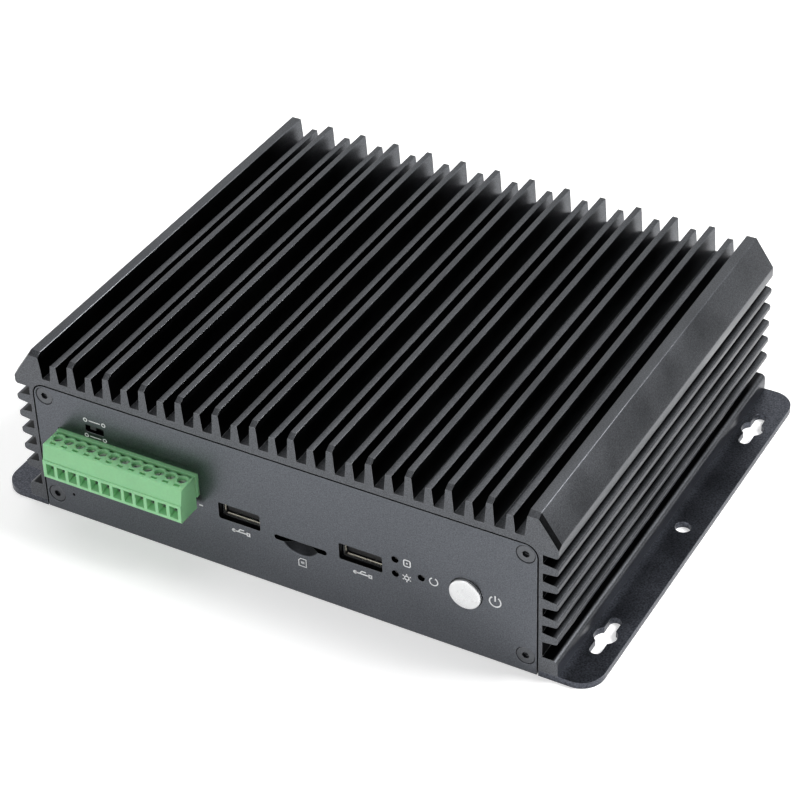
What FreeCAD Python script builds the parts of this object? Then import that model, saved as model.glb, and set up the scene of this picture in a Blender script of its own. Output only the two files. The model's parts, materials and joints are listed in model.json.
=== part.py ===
"""Fanless industrial computer: a finned aluminium housing on a flanged base plate.

Millimetres. +Z is up, the front panel faces -Y and +X is to the right seen from the front.
The origin is the centre of the base plate's underside. Each function below makes one piece or one
group of like pieces, and main() writes each to parts/NODE.step.
"""
import FreeCAD, Part
import math
import os

V = FreeCAD.Vector
Y_AXIS = V(0, 1, 0)
Z_AXIS = V(0, 0, 1)

# ---------------------------------------------------------------- housing extrusion
BODY_LENGTH = 145.5            # front face to rear face
BODY_HALF_WIDTH = 85.6         # to the vertical side faces and the side fins' tips
BODY_TOP = 55.4                # tips of the tall fins and shoulders
FIN_PITCH = 6.0
SHORT_FIN_COUNT = 13           # short fins stand between and outside 12 tall ones
FIN_FLOOR_Z = 47.2
SHORT_FIN_Z = 52.8
FIN_ROOT_HALF = 1.48
FIN_TIP_HALF = 0.94
FIN_EDGE = 0.16                # bevel along the fins' tips
SHOULDER_GAP = 2.72            # floor between the outer fin and the shoulder block
SHOULDER_DRAFT = 0.8
SHOULDER_TOP_WIDTH = 3.2
SHOULDER_SIDE_TOP_Z = 46.7     # where the sloping face meets the vertical side face
SHOULDER_UNDER_Z = 42.9
SIDE_SLOT_DEPTH = 4.1
SIDE_FIN_COUNT = 5
SIDE_FIN_PITCH = 6.0
SIDE_FIN_TOP_Z = 38.25         # centre line of the highest side fin
SIDE_FIN_ROOT_HALF = 1.62
SIDE_FIN_TIP_HALF = 1.12
SIDE_FIN_TIP_R = 1.0
SIDE_SLOT_RISE = 0.15          # the outermost slots' walls lean this much
FOOT_TOP_Z = 7.25
FOOT_R = 1.6
SHOULDER_R = 0.6               # between the sloping and the vertical face
SHOULDER_TOP_R = 0.3
BEVEL_LENGTH = 1.8             # along Y, machined on the front end only
TOP_BEVEL_DEPTH = 1.1          # on the tall fins and the shoulders' tops
SLOPE_BEVEL_DEPTH = 0.55       # square to the shoulders' slopes
SIDE_WALL = 7.6                # side faces to the cavity
ROOF = 3.5                     # fin floor to the cavity
CAVITY_CORNER_R = 1.0
BOSS_R = 3.4                   # screw ports that run along the cavity's corners

# ---------------------------------------------------------------- panels and their screws
PANEL_THICKNESS = 2.0
PANEL_SIDE_LAND = 1.9          # panel past the cavity at the sides
PANEL_TOP_LAND = 0.8           # and at the top
PANEL_BOTTOM = 0.15
PANEL_CORNER_R = 3.6
PANEL_CLEARANCE = 0.5
PANEL_SCREW_INSET = 3.4        # screw centre from the panel's side and top edges
PANEL_SCREW_LOW_Z = 5.6
SCREW_R = 1.5                  # M3
SCREW_HEAD_R = 2.8
SCREW_LENGTH = 8.0
SCREW_SINK = 0.15              # head below the panel's face
SCREW_CLEARANCE = 0.05         # thread to its tapped hole
HOLE_CLEARANCE = 0.1           # shank to a plain hole
COUNTERSINK_R = 3.0
HEX_SOCKET = 2.0               # across flats
HEX_DEPTH = 1.2
THREAD_DEPTH = 10.0

# ---------------------------------------------------------------- base plate
PLATE_THICKNESS = 2.0
FLANGE_WIDTH = 11.3            # plate beyond the housing's sides
PLATE_CORNER_R = 7.0
KEYHOLE_OUT = 5.05             # keyhole's centre line from the housing's side
KEYHOLE_INSET = 20.75          # keyhole's centre from the plate's end
KEYHOLE_R = 3.35
KEYHOLE_SLOT_HALF = 1.75
KEYHOLE_LENGTH = 16.0
SIDE_HOLE_OUT = 5.15
SIDE_HOLE_R = 2.4
PLATE_SCREW_IN = 4.6           # foot screws from the housing's side
PLATE_SCREW_INSET = 14.75      # end screws from the plate's end
PLATE_SCREW_LENGTH = 5.4
PLATE_SCREW_SINK = 0.05        # head below the plate's underside
FOOT_HOLE_ROOM = 0.6           # blind hole beyond the screw's tip
PLATE_CSK_R = 2.9
PLATE_CSK_DEPTH = 1.4

# ---------------------------------------------------------------- boards
BOARD_THICKNESS = 1.6
BOARD_SIDE_GAP = 1.5           # board edge to the cavity's wall
BOARD_END_GAP = 3.5            # board edge behind the housing's end face
BOARD_HOLE_INSET = 7.5         # screw centre from the board's side edge
BOARD_HOLE_END_INSET = 17.25   # and from its front and rear edges
STANDOFF_ACROSS = 5.5          # across flats
BOARD_SCREW_LENGTH = 7.0
BOARD_SCREW_HEAD_R = 2.8
BOARD_SCREW_HEAD_H = 1.8

# ---------------------------------------------------------------- terminal block
POLES = 12
POLE_PITCH = 3.81
POLE_FIRST_X = -70.1
PLUG_MARGIN = 2.44             # plug's end beyond its outer pole
PLUG_BOTTOM_Z = 19.94
PLUG_TOP_Z = 30.91
PLUG_LEDGE_Z = 26.0
PLUG_FRONT = 9.3               # these four are ahead of the panel face
PLUG_SHELF_FRONT = 8.9
PLUG_UPPER_FRONT = 8.0
PLUG_WEB_BACK = 2.5
PLUG_SEAT_GAP = 0.35           # plug body to the header's rim
PLUG_POST_WIDTH = 0.7          # posts at the top's two rear corners
PLUG_EDGE_R = 0.25
WELL_AHEAD = 3.8               # screw wells' centre line ahead of the panel face
WELL_R = 1.375
WELL_COLLAR_R = 2.0
WELL_DEPTH = 4.6
CLAMP_SCREW_R = 1.25
CLAMP_SCREW_RECESS = 0.9
CLAMP_SLOT_WIDTH = 0.4
CLAMP_SLOT_DEPTH = 0.6
CLAMP_SLOT_FIRST = 25          # degrees; the screws stand at different turns
CLAMP_SLOT_STEP = 47
CLAMP_SHANK_R = 0.8
CLAMP_SHANK_TIP = 1.2          # shank's reach into the cage
TEST_SLOT_WIDTH = 1.85
TEST_SLOT_LENGTH = 0.8
TEST_SLOT_DEPTH = 1.2
TEST_SLOT_AHEAD = 6.5
ENTRY_WIDTH = 2.75
ENTRY_BOTTOM_Z = 21.0
ENTRY_TOP_Z = 25.0
ENTRY_DEPTH = 7.4
ENTRY_RISE = 0.6               # the floor rises this much over the lead-in
ENTRY_LEAD = 2.0
CLAMP_WALL = 0.35
CLAMP_GAP = 0.05
CLAMP_SETBACK = 2.2            # cage behind the entry's mouth
CLAMP_LENGTH = 5.0
HEADER_HALF_WIDTH = 23.5
HEADER_BOTTOM_Z = 23.5         # the header stands on the main board
HEADER_TOP_Z = 31.05
HEADER_PROUD = 1.1
HEADER_DEPTH = 9.2
HEADER_WALL = 1.0
HEADER_BACK_WALL = 1.6
HEADER_CLEARANCE = 0.25        # header to the panel's cut-out
NECK_GAP = 0.15                # plug neck to the header's walls
NECK_END_GAP = 0.5
PIN_SIZE = 1.0
PIN_TIP = 2.0                  # pin tips behind the panel face
PIN_LEG_BEHIND = 1.2           # legs behind the header
PIN_HOLE_CLEARANCE = 0.1
SOCKET_HOLE = 1.6              # square holes in the plug's neck

# ---------------------------------------------------------------- front sockets and controls
USB_X = (-12.7, 26.25)
USB_Z = 20.6
USB_CUT = (13.6, 5.6)
USB_SHELL = (13.1, 5.7)
USB_SHEET = 0.3
USB_DEPTH = 14.0
USB_TONGUE = (11.1, 1.9)
USB_TONGUE_SETBACK = 1.0
USB_TONGUE_LOW = 0.75          # tongue's centre below the shell's centre
USB_CORNER_R = 0.5
USB_BLOCK_DEPTH = 3.0
USB_TAB_LENGTH = 6.0
TAB_WIDTH = 1.75               # side tabs that hold a sunk piece under the board
TAB_SHEET = 0.3
NOTCH_GAP = 0.15               # sunk piece to the board's notch
SEAT_GAP = 0.05                # piece to the face it seats against
CARD_X = 7.03
CARD_Z = 17.87
CARD_SLOT = (16.9, 1.75)
CARD_SCOOP_R = 6.9
CARD_SCOOP_UP = 3.0            # scoop's centre above the slot
CARD_SCOOP_SPHERE_R = 10.8
CARD_SOCKET = (17.8, 18.0)     # width and length
CARD_MOUTH = (15.4, 1.2)
CARD_WALL = 1.5                # under the mouth and behind it
CUTOUT_R = 0.6                 # corners of the punched cut-outs
LED_HOLES = ((37.1, 24.2), (37.1, 19.2), (45.15, 20.75))
LED_HOLE_R = 1.12
LAMP_R = 1.0
LAMP_NOSE = 0.5
LAMP_SETBACK = 0.9
LAMP_END_GAP = 0.3             # lamp's rear end to the board's edge
LAMP_FIT = 0.02
HOLDER_MARGIN = (2.2, 2.0)     # past the outer lamps, sideways and upright
HOLDER_DEPTH = 6.0
BUTTON_X = 58.8
BUTTON_Z = 20.9
BUTTON_R = 4.8
BUTTON_PROUD = 1.1
BUTTON_GAP = 0.2
BUTTON_FLANGE_R = 6.0
BUTTON_FLANGE = 1.0
BUTTON_SEAT_GAP = 0.1
BUTTON_STEM_R = 1.7
BUTTON_STEM = 3.2              # beyond the flange
BUTTON_STEM_IN = 0.4           # of it in the switch at rest
BUTTON_TRAVEL = 0.8
BUTTON_SWITCH = (7.2, 4.0)     # square side and depth
BUTTON_EDGE = 0.25             # bevel round the cap's face
OPTION_X = -59.8               # window centre
OPTION_Z = 34.65
OPTION_WINDOW = (6.2, 2.4)
OPTION_TRAVEL = 2.0
OPTION_KNOB = (2.0, 1.4)
OPTION_KNOB_SETBACK = 0.7      # knob's face behind the panel face
OPTION_KNOB_IN = 1.85          # of the knob in the switch
OPTION_SIDE_GAP = 0.1
OPTION_END_GAP = 0.2
OPTION_BODY = (10.0, 3.0, 4.4)     # width, height, depth
OPTION_BOARD_THICKNESS = 1.2
OPTION_BOARD = (18.0, 18.0)
OPTION_BOARD_AHEAD = 0.6       # ahead of the main board's edge
OPTION_SPACER_R = 2.2
OPTION_SPACER_HALF = 4.5
OPTION_SPACER_BEHIND = 8.5
PIN_HOLE = (-70.35, 7.5)
PIN_HOLE_R = 0.5
RESET_SWITCH_Y = 5.0           # switch's face behind the panel face
RESET_SWITCH = (4.0, 2.0)      # square side and depth
RESET_PLUNGER_R = 0.8
RESET_PLUNGER_OUT = 0.8
RESET_PLUNGER_IN = 1.3
RESET_CLEARANCE = 0.05
RESET_TRAVEL = 0.3
RESET_BOARD_THICKNESS = 1.2
RESET_BOARD_MARGIN = (2.0, 1.0)    # to the switch's right, and below it

# ---------------------------------------------------------------- rear sockets, hung under the board
SOCKET_CLEARANCE = 0.25
DC_X = -62.0
DC_SIZE = (9.4, 11.0, 14.0)
DC_BORE_R = 3.2
DC_BORE_DEPTH = 9.5
DC_PIN_R = 1.05
DC_INSET = 0.4
DISPLAY_X = -42.0
DISPLAY_SIZE = (15.0, 5.9, 11.0)
DISPLAY_SHEET = 0.35
DISPLAY_CHAMFER = 1.8          # the lower corners, sideways
DISPLAY_SHELF = 0.6            # the chamfers start this much below the middle
DISPLAY_CORNER_R = 0.4
DISPLAY_TONGUE = (11.4, 1.2)   # width and thickness
DISPLAY_TONGUE_SETBACK = 1.0
DISPLAY_BLOCK = (10.0, 3.7, 2.5)   # width, height and depth
LAN_X = (-20.0, 0.0)
LAN_SIZE = (16.0, 13.3, 21.0)
LAN_MOUTH = (11.8, 8.4, 12.0)
LAN_MOUTH_UP = 1.0
LAN_LATCH = (6.4, 1.6)
LAN_INSET = 0.6
USB_REAR_X = (18.0, 33.5)
SERIAL_X = 57.0
SERIAL_FLANGE = (30.8, 12.4, 0.8)
SERIAL_SHELL = (16.9, 8.3)
SERIAL_SHELL_OUT = 3.4
SERIAL_SHEET = 0.4
SERIAL_LEAN = 1.4              # how far the D's sides lean in
SERIAL_CORNER_R = 1.2
SERIAL_FACE = (12.5, 6.9, 1.0)     # the insert's width, height and reach in the shell
SERIAL_BLOCK = (20.0, 9.0)     # width and depth
SERIAL_BLOCK_DROP = 5.0
SERIAL_SCREW_HALF = 12.5
SERIAL_BOARD_GAP = 0.1
JACKSCREW_ACROSS = 4.8
JACKSCREW_HEAD = 5.0
JACKSCREW_LENGTH = 6.0
JACKSCREW_BORE_R = 1.2
JACKSCREW_BORE = 3.5
SERIAL_CONTACT_PITCH = 2.77
SERIAL_CONTACT_ROW = 1.42
SERIAL_PIN = (0.5, 4.2)        # radius and length
SERIAL_UPPER_COUNT = 5
SERIAL_LOWER_COUNT = 4

# ---------------------------------------------------------------- what the main board carries
CHIP = (24.0, 24.0, 2.2)
CHIP_AT = (10.0, 5.0)
PAD_THICKNESS = 0.6
HEAT_FOOT = (2.0, 3.0)         # wider than the chip, and its height
HEAT_BLOCK = (60.0, 50.0)
MEMORY_AT = (-34.0, -12.0)
MEMORY = (67.6, 30.0, 1.2)
MEMORY_SOCKET = (73.0, 6.5, 5.2)
MEMORY_ARM = 2.0               # width of the socket's arms
MEMORY_ARM_SHORT = 4.0         # the arms end this much before the module's edge
MEMORY_CHIP = (10.0, 12.0, 1.1)
MEMORY_CHIP_X = (-24.0, -10.0, 10.0, 24.0)
CARD_EDGE_IN = 3.0             # an edge card's reach into its socket
SLOT_FLOOR = 1.4               # socket plastic below its slot
DRIVE_X = 30.0
DRIVE_SOCKET_GAP = 8.7         # from the drive's post to the rear USB sockets
DRIVE = (22.0, 40.0, 0.9)
DRIVE_DROP = 2.9               # card's underside below the board
DRIVE_NECK_STEP = 1.1          # the edge contact is this much narrower at each side
DRIVE_SOCKET_DEPTH = 5.0
DRIVE_CHIP = (14.0, 14.0, 1.2)
DRIVE_CHIP_PITCH = 16.0
DRIVE_POST_R = 2.6
DRIVE_NECK_R = 1.9             # the post's neck in the card's notch
DRIVE_HEAD = (2.9, 1.35)       # radius and height
CELL_AT = (-50.0, 40.0)
CELL_R = 10.0
CELL_H = 3.2
CELL_HOLDER_WALL = 1.6
CELL_HOLDER_H = 5.0
CELL_CLEARANCE = 0.1
CAPACITOR = (4.0, 8.5)         # radius and height
CAPACITOR_AT = (-62.0, 45.0)   # the first; the others follow to the right
CAPACITOR_PITCH = 10.0
CAPACITOR_COUNT = 4
COIL = (9.0, 4.5)              # side and height
COIL_AT = (-61.5, 28.0)
COIL_PITCH = 12.0
COIL_COUNT = 3

FRONT = -BODY_LENGTH / 2
REAR = BODY_LENGTH / 2
SIDE_ROOT_X = BODY_HALF_WIDTH - SIDE_SLOT_DEPTH
CAVITY_HALF_WIDTH = BODY_HALF_WIDTH - SIDE_WALL
CAVITY_TOP = FIN_FLOOR_Z - ROOF
PANEL_HALF_WIDTH = CAVITY_HALF_WIDTH + PANEL_SIDE_LAND
PANEL_TOP = CAVITY_TOP + PANEL_TOP_LAND
PANEL_SCREW_HIGH_Z = PANEL_TOP - PANEL_SCREW_INSET
PLATE_HALF_WIDTH = BODY_HALF_WIDTH + FLANGE_WIDTH
KEYHOLE_X = BODY_HALF_WIDTH + KEYHOLE_OUT
KEYHOLE_Y = REAR - KEYHOLE_INSET
SIDE_HOLE_X = BODY_HALF_WIDTH + SIDE_HOLE_OUT
PLATE_SCREW_X = BODY_HALF_WIDTH - PLATE_SCREW_IN
PLATE_SCREW_Y = REAR - PLATE_SCREW_INSET
BOARD_HALF_WIDTH = CAVITY_HALF_WIDTH - BOARD_SIDE_GAP
BOARD_HOLE_X = BOARD_HALF_WIDTH - BOARD_HOLE_INSET
BOARD_HOLE_Y = REAR - BOARD_END_GAP - BOARD_HOLE_END_INSET
FIN_COUNT = 2 * SHORT_FIN_COUNT - 1
SHOULDER_ROOT_X = (SHORT_FIN_COUNT - 1) * FIN_PITCH + FIN_ROOT_HALF + SHOULDER_GAP
SHOULDER_INNER_X = SHOULDER_ROOT_X + SHOULDER_DRAFT
PANEL_SCREW_X = PANEL_HALF_WIDTH - PANEL_SCREW_INSET
BOARD_TOP_Z = HEADER_BOTTOM_Z
BOARD_UNDER_Z = BOARD_TOP_Z - BOARD_THICKNESS
BOARD_FRONT = FRONT + BOARD_END_GAP
BOARD_REAR = REAR - BOARD_END_GAP
PANEL_BACK = FRONT + PANEL_THICKNESS
POLE_XS = [POLE_FIRST_X + i * POLE_PITCH for i in range(POLES)]
PLUG_LEFT_X = POLE_XS[0] - PLUG_MARGIN
PLUG_RIGHT_X = POLE_XS[-1] + PLUG_MARGIN
HEADER_LEFT_X = (POLE_XS[0] + POLE_XS[-1]) / 2 - HEADER_HALF_WIDTH
HEADER_RIGHT_X = HEADER_LEFT_X + 2 * HEADER_HALF_WIDTH
HEADER_FACE = FRONT - HEADER_PROUD
HEADER_BACK = HEADER_FACE + HEADER_DEPTH
PIN_Z = (HEADER_BOTTOM_Z + HEADER_TOP_Z) / 2
PIN_LEG_Y = HEADER_BACK + PIN_LEG_BEHIND
NECK_LOW_Z = HEADER_BOTTOM_Z + HEADER_WALL + NECK_GAP
NECK_TOP_Z = HEADER_TOP_Z - HEADER_WALL - NECK_GAP
WELL_Y = FRONT - WELL_AHEAD
CLAMP_FRONT = FRONT - PLUG_FRONT + CLAMP_SETBACK
REAR_FACE = REAR - PANEL_THICKNESS - SEAT_GAP
DRIVE_AT = (DRIVE_X, REAR_FACE - USB_DEPTH - DRIVE_SOCKET_GAP - DRIVE[1])
BUTTON_SWITCH_Y = PANEL_BACK + BUTTON_SEAT_GAP + BUTTON_FLANGE + BUTTON_STEM - BUTTON_STEM_IN
DC_Z = BOARD_UNDER_Z - DC_SIZE[1] / 2
DISPLAY_Z = BOARD_UNDER_Z - DISPLAY_SIZE[1] / 2
LAN_Z = BOARD_UNDER_Z - LAN_SIZE[1] / 2
USB_REAR_Z = BOARD_UNDER_Z - USB_SHELL[1] / 2
SERIAL_Z = BOARD_UNDER_Z - SERIAL_BOARD_GAP - SERIAL_FLANGE[1] / 2
OPTION_BOARD_TOP = OPTION_Z - OPTION_BODY[1] / 2
EPS = 0.01
OVER = 1.0                     # how far a cutter runs past the face it opens


# ---------------------------------------------------------------- helpers
def box(x0, x1, y0, y1, z0, z1):
    """A block between two corners."""
    return Part.makeBox(x1 - x0, y1 - y0, z1 - z0, V(x0, y0, z0))


def centred(x, z, width, height, y0, y1):
    """A block of the given width and height about (x, z), from y0 to y1."""
    return box(x - width / 2, x + width / 2, y0, y1, z - height / 2, z + height / 2)


def rod(r, start, length, axis=Z_AXIS):
    """A cylinder from start, along axis."""
    return Part.makeCylinder(r, length, V(*start), axis)


def fused(shapes):
    """One solid from touching shapes, with merged faces."""
    first, rest = shapes[0], shapes[1:]
    return (first.fuse(rest) if rest else first).removeSplitter()


def group(shapes):
    """Separate solids kept together in one node."""
    return Part.makeCompound(shapes)


def outline(points, place):
    """A closed wire through points (a, b, r), with a tangent arc of radius r at each corner.

    place turns the plane coordinates a, b into a vector.
    """
    count = len(points)
    corners = []
    for i, (a, b, r) in enumerate(points):
        pa, pb, _ = points[i - 1]
        na, nb, _ = points[(i + 1) % count]
        if r <= 0:
            corners.append(((a, b), None, (a, b)))
            continue
        u = (pa - a, pb - b)
        w = (na - a, nb - b)
        lu, lw = math.hypot(*u), math.hypot(*w)
        u = (u[0] / lu, u[1] / lu)
        w = (w[0] / lw, w[1] / lw)
        half = math.acos(max(-1.0, min(1.0, u[0] * w[0] + u[1] * w[1]))) / 2
        reach = r / math.tan(half)
        bis = (u[0] + w[0], u[1] + w[1])
        lb = math.hypot(*bis)
        far = r / math.sin(half) - r
        mid = (a + bis[0] / lb * far, b + bis[1] / lb * far)
        corners.append(((a + u[0] * reach, b + u[1] * reach), mid, (a + w[0] * reach, b + w[1] * reach)))
    edges = []
    for i, (enter, mid, leave) in enumerate(corners):
        if mid is not None:
            edges.append(Part.Arc(place(*enter), place(*mid), place(*leave)).toShape())
        nxt = corners[(i + 1) % count][0]
        if math.hypot(nxt[0] - leave[0], nxt[1] - leave[1]) > 1e-6:
            edges.append(Part.makeLine(place(*leave), place(*nxt)))
    return Part.Wire(edges)


def prism_y(points, y0, y1):
    """An XZ outline pushed from y0 to y1."""
    wire = outline(points, lambda a, b: V(a, y0, b))
    return Part.Face(wire).extrude(V(0, y1 - y0, 0))


def prism_x(points, x0, x1):
    """A YZ outline pushed from x0 to x1."""
    wire = outline(points, lambda a, b: V(x0, a, b))
    return Part.Face(wire).extrude(V(x1 - x0, 0, 0))


def prism_z(points, z0, z1):
    """An XY outline pushed from z0 to z1."""
    wire = outline(points, lambda a, b: V(a, b, z0))
    return Part.Face(wire).extrude(V(0, 0, z1 - z0))


def rounded_slot(x, z, width, height, r, y0, y1):
    """A block through a panel with rounded corners."""
    w, h = width / 2, height / 2
    return prism_y([(x - w, z - h, r), (x + w, z - h, r), (x + w, z + h, r), (x - w, z + h, r)], y0, y1)


def hexagon(a, b, across):
    """The six corners of a hexagon of a given size across its flats."""
    r = across / math.sqrt(3)
    turns = [math.radians(60 * i) for i in range(6)]
    return [(a + r * math.cos(t), b + r * math.sin(t), 0) for t in turns]


# ---------------------------------------------------------------- housing
def side_points():
    """The right side's outline from the foot up to the shoulder's inner top edge."""
    points = [(BODY_HALF_WIDTH, PLATE_THICKNESS, 0), (BODY_HALF_WIDTH, FOOT_TOP_Z - SIDE_SLOT_RISE, FOOT_R),
              (SIDE_ROOT_X, FOOT_TOP_Z, 0)]
    for i in reversed(range(SIDE_FIN_COUNT)):
        z = SIDE_FIN_TOP_Z - i * SIDE_FIN_PITCH
        points += [(SIDE_ROOT_X, z - SIDE_FIN_ROOT_HALF, 0),
                   (BODY_HALF_WIDTH, z - SIDE_FIN_TIP_HALF, SIDE_FIN_TIP_R),
                   (BODY_HALF_WIDTH, z + SIDE_FIN_TIP_HALF, SIDE_FIN_TIP_R),
                   (SIDE_ROOT_X, z + SIDE_FIN_ROOT_HALF, 0)]
    points += [(SIDE_ROOT_X, SHOULDER_UNDER_Z - SIDE_SLOT_RISE, 0),
               (BODY_HALF_WIDTH, SHOULDER_UNDER_Z + SIDE_SLOT_RISE, SIDE_FIN_TIP_R),
               (BODY_HALF_WIDTH, SHOULDER_SIDE_TOP_Z, SHOULDER_R),
               (SHOULDER_INNER_X + SHOULDER_TOP_WIDTH, BODY_TOP, SHOULDER_TOP_R),
               (SHOULDER_INNER_X, BODY_TOP, SHOULDER_TOP_R), (SHOULDER_ROOT_X, FIN_FLOOR_Z, 0)]
    return points


def fin_points():
    """The top fins' outline from right to left."""
    points = []
    for i in reversed(range(FIN_COUNT)):
        x = (i - (FIN_COUNT - 1) / 2) * FIN_PITCH
        top = SHORT_FIN_Z if i % 2 == 0 else BODY_TOP
        points += [(x + FIN_ROOT_HALF, FIN_FLOOR_Z, 0), (x + FIN_TIP_HALF, top - FIN_EDGE, 0),
                   (x + FIN_TIP_HALF - FIN_EDGE, top, 0), (x - FIN_TIP_HALF + FIN_EDGE, top, 0),
                   (x - FIN_TIP_HALF, top - FIN_EDGE, 0), (x - FIN_ROOT_HALF, FIN_FLOOR_Z, 0)]
    return points


def panel_points(grow, bottom):
    """A panel's outline, grown all round by grow."""
    w, top, r = PANEL_HALF_WIDTH + grow, PANEL_TOP + grow, PANEL_CORNER_R + grow
    return [(-w, bottom, 0), (w, bottom, 0), (w, top, r), (-w, top, r)]


def panel_screw_places():
    """Centres of the four screws of a panel, as (x, z)."""
    return [(sx * PANEL_SCREW_X, z) for sx in (-1, 1) for z in (PANEL_SCREW_LOW_Z, PANEL_SCREW_HIGH_Z)]


def plate_screw_places():
    """Centres of the base plate's screws, as (x, y)."""
    return [(sx * PLATE_SCREW_X, y) for sx in (-1, 1) for y in (-PLATE_SCREW_Y, 0, PLATE_SCREW_Y)]


def standoff_places():
    """Centres of the board's standoffs, as (x, y)."""
    return [(sx * BOARD_HOLE_X, sy * BOARD_HOLE_Y) for sx in (-1, 1) for sy in (-1, 1)]


def front_bevel(start, stop, outward, depth):
    """A cutter that bevels the front edge between two points; outward is square to that face."""
    along = (stop - start).normalize()
    low = start + V(0, FRONT, 0) - outward * depth
    high = start + V(0, FRONT + BEVEL_LENGTH, 0)
    slope = high - low
    near, far = low - slope, high + slope
    ring = [near, far, far + outward * 4 - Y_AXIS * 6, near - Y_AXIS * 6]
    section = Part.Face(Part.makePolygon(ring + ring[:1]))
    section.translate(along * -2 * OVER)
    return section.extrude(along * ((stop - start).Length + 4 * OVER))


def front_bevels():
    """Cutters for the tall fins, the shoulders' tops and their slopes."""
    top_x = SHOULDER_INNER_X + SHOULDER_TOP_WIDTH
    left, right = V(-BODY_HALF_WIDTH, 0, BODY_TOP), V(BODY_HALF_WIDTH, 0, BODY_TOP)
    cutters = [front_bevel(left, right, Z_AXIS, TOP_BEVEL_DEPTH)]
    for side in (-1, 1):
        start = V(side * top_x, 0, BODY_TOP)
        stop = V(side * BODY_HALF_WIDTH, 0, SHOULDER_SIDE_TOP_Z)
        along = (stop - start).normalize()
        outward = V(-side * along.z, 0, side * along.x)
        cutters.append(front_bevel(start, stop, outward, SLOPE_BEVEL_DEPTH))
    return cutters


def heatsink_housing():
    """One extrusion: finned top, finned sides and feet, with machined ends."""
    right = side_points()
    left = [(-x, z, r) for x, z, r in reversed(right)]
    inner = [(-CAVITY_HALF_WIDTH, PLATE_THICKNESS, 0), (-CAVITY_HALF_WIDTH, CAVITY_TOP, CAVITY_CORNER_R),
             (CAVITY_HALF_WIDTH, CAVITY_TOP, CAVITY_CORNER_R), (CAVITY_HALF_WIDTH, PLATE_THICKNESS, 0)]
    body = prism_y(right + fin_points() + left + inner, FRONT, REAR)
    bosses = [rod(BOSS_R, (x, FRONT, z), BODY_LENGTH, Y_AXIS) for x, z in panel_screw_places()]
    body = body.fuse(bosses)
    cutters = front_bevels()
    cutters.append(prism_y(panel_points(PANEL_CLEARANCE, 0), FRONT - OVER, PANEL_BACK))
    cutters.append(prism_y(panel_points(PANEL_CLEARANCE, 0), REAR - PANEL_THICKNESS, REAR + OVER))
    for x, z in panel_screw_places():
        for y in (FRONT, REAR - PANEL_THICKNESS - THREAD_DEPTH):
            cutters.append(rod(SCREW_R + SCREW_CLEARANCE, (x, y, z), THREAD_DEPTH + PANEL_THICKNESS, Y_AXIS))
    for x, y in plate_screw_places():
        depth = PLATE_SCREW_LENGTH + FOOT_HOLE_ROOM
        cutters.append(rod(SCREW_R + SCREW_CLEARANCE, (x, y, 0), depth))
    return body.cut(cutters).removeSplitter()


def base_plate():
    """Flat plate with side flanges, keyholes and countersunk screw holes."""
    w, l = PLATE_HALF_WIDTH, BODY_LENGTH / 2
    step_x = PANEL_HALF_WIDTH + PANEL_CLEARANCE
    step_y = l - PANEL_THICKNESS
    r = PLATE_CORNER_R
    points = []
    for sy in (-1, 1):
        for sx in (-1, 1):
            sx = sx * -sy
            corner = [(sx * w, sy * l, r), (sx * step_x, sy * l, 0), (sx * step_x, sy * step_y, 0)]
            points += corner if sx * sy > 0 else corner[::-1]
    plate = prism_z(points, 0, PLATE_THICKNESS)
    cutters = []
    for sx in (-1, 1):
        cutters.append(rod(SIDE_HOLE_R, (sx * SIDE_HOLE_X, 0, -OVER), PLATE_THICKNESS + 2 * OVER))
        for sy in (-1, 1):
            x, y = sx * KEYHOLE_X, sy * KEYHOLE_Y
            h, half = KEYHOLE_SLOT_HALF, KEYHOLE_LENGTH / 2
            cutters.append(rod(KEYHOLE_R, (x, y, -OVER), PLATE_THICKNESS + 2 * OVER))
            slot = [(x - h, y - half, h - EPS), (x + h, y - half, h - EPS),
                    (x + h, y + half, h - EPS), (x - h, y + half, h - EPS)]
            cutters.append(prism_z(slot, -OVER, PLATE_THICKNESS + OVER))
    for x, y in plate_screw_places() + standoff_places():
        cutters.append(rod(SCREW_R + HOLE_CLEARANCE, (x, y, -OVER), PLATE_THICKNESS + 2 * OVER))
        cutters.append(Part.makeCone(PLATE_CSK_R, SCREW_R, PLATE_CSK_DEPTH, V(x, y, 0), Z_AXIS))
    return plate.cut(cutters)


def base_plate_screws():
    """Countersunk screws, put in from underneath: six into the housing's feet, four into the standoffs."""
    screws = []
    low = PLATE_SCREW_SINK
    thin = SCREW_R - SCREW_CLEARANCE
    for x, y in plate_screw_places() + standoff_places():
        head = Part.makeCone(PLATE_CSK_R - HOLE_CLEARANCE, thin, PLATE_CSK_DEPTH, V(x, y, low), Z_AXIS)
        shank = rod(thin, (x, y, low), PLATE_SCREW_LENGTH)
        screws.append(fused([head, shank]).cut(prism_z(hexagon(x, y, HEX_SOCKET), -OVER, HEX_DEPTH)))
    return group(screws)


# ---------------------------------------------------------------- panels
def panel_blank(y0):
    """A panel with its four countersunk holes; y0 is its low face, and the countersinks face outwards."""
    outward = -1 if y0 < 0 else 1
    panel = prism_y(panel_points(0, PANEL_BOTTOM), y0, y0 + PANEL_THICKNESS)
    cutters = []
    for x, z in panel_screw_places():
        cutters.append(rod(SCREW_R + HOLE_CLEARANCE, (x, y0 - OVER, z), PANEL_THICKNESS + 2 * OVER, Y_AXIS))
        face = y0 if outward < 0 else y0 + PANEL_THICKNESS
        depth = COUNTERSINK_R - SCREW_R
        cutters.append(Part.makeCone(COUNTERSINK_R, SCREW_R, depth, V(x, face, z), Y_AXIS * -outward))
    return panel, cutters


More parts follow.
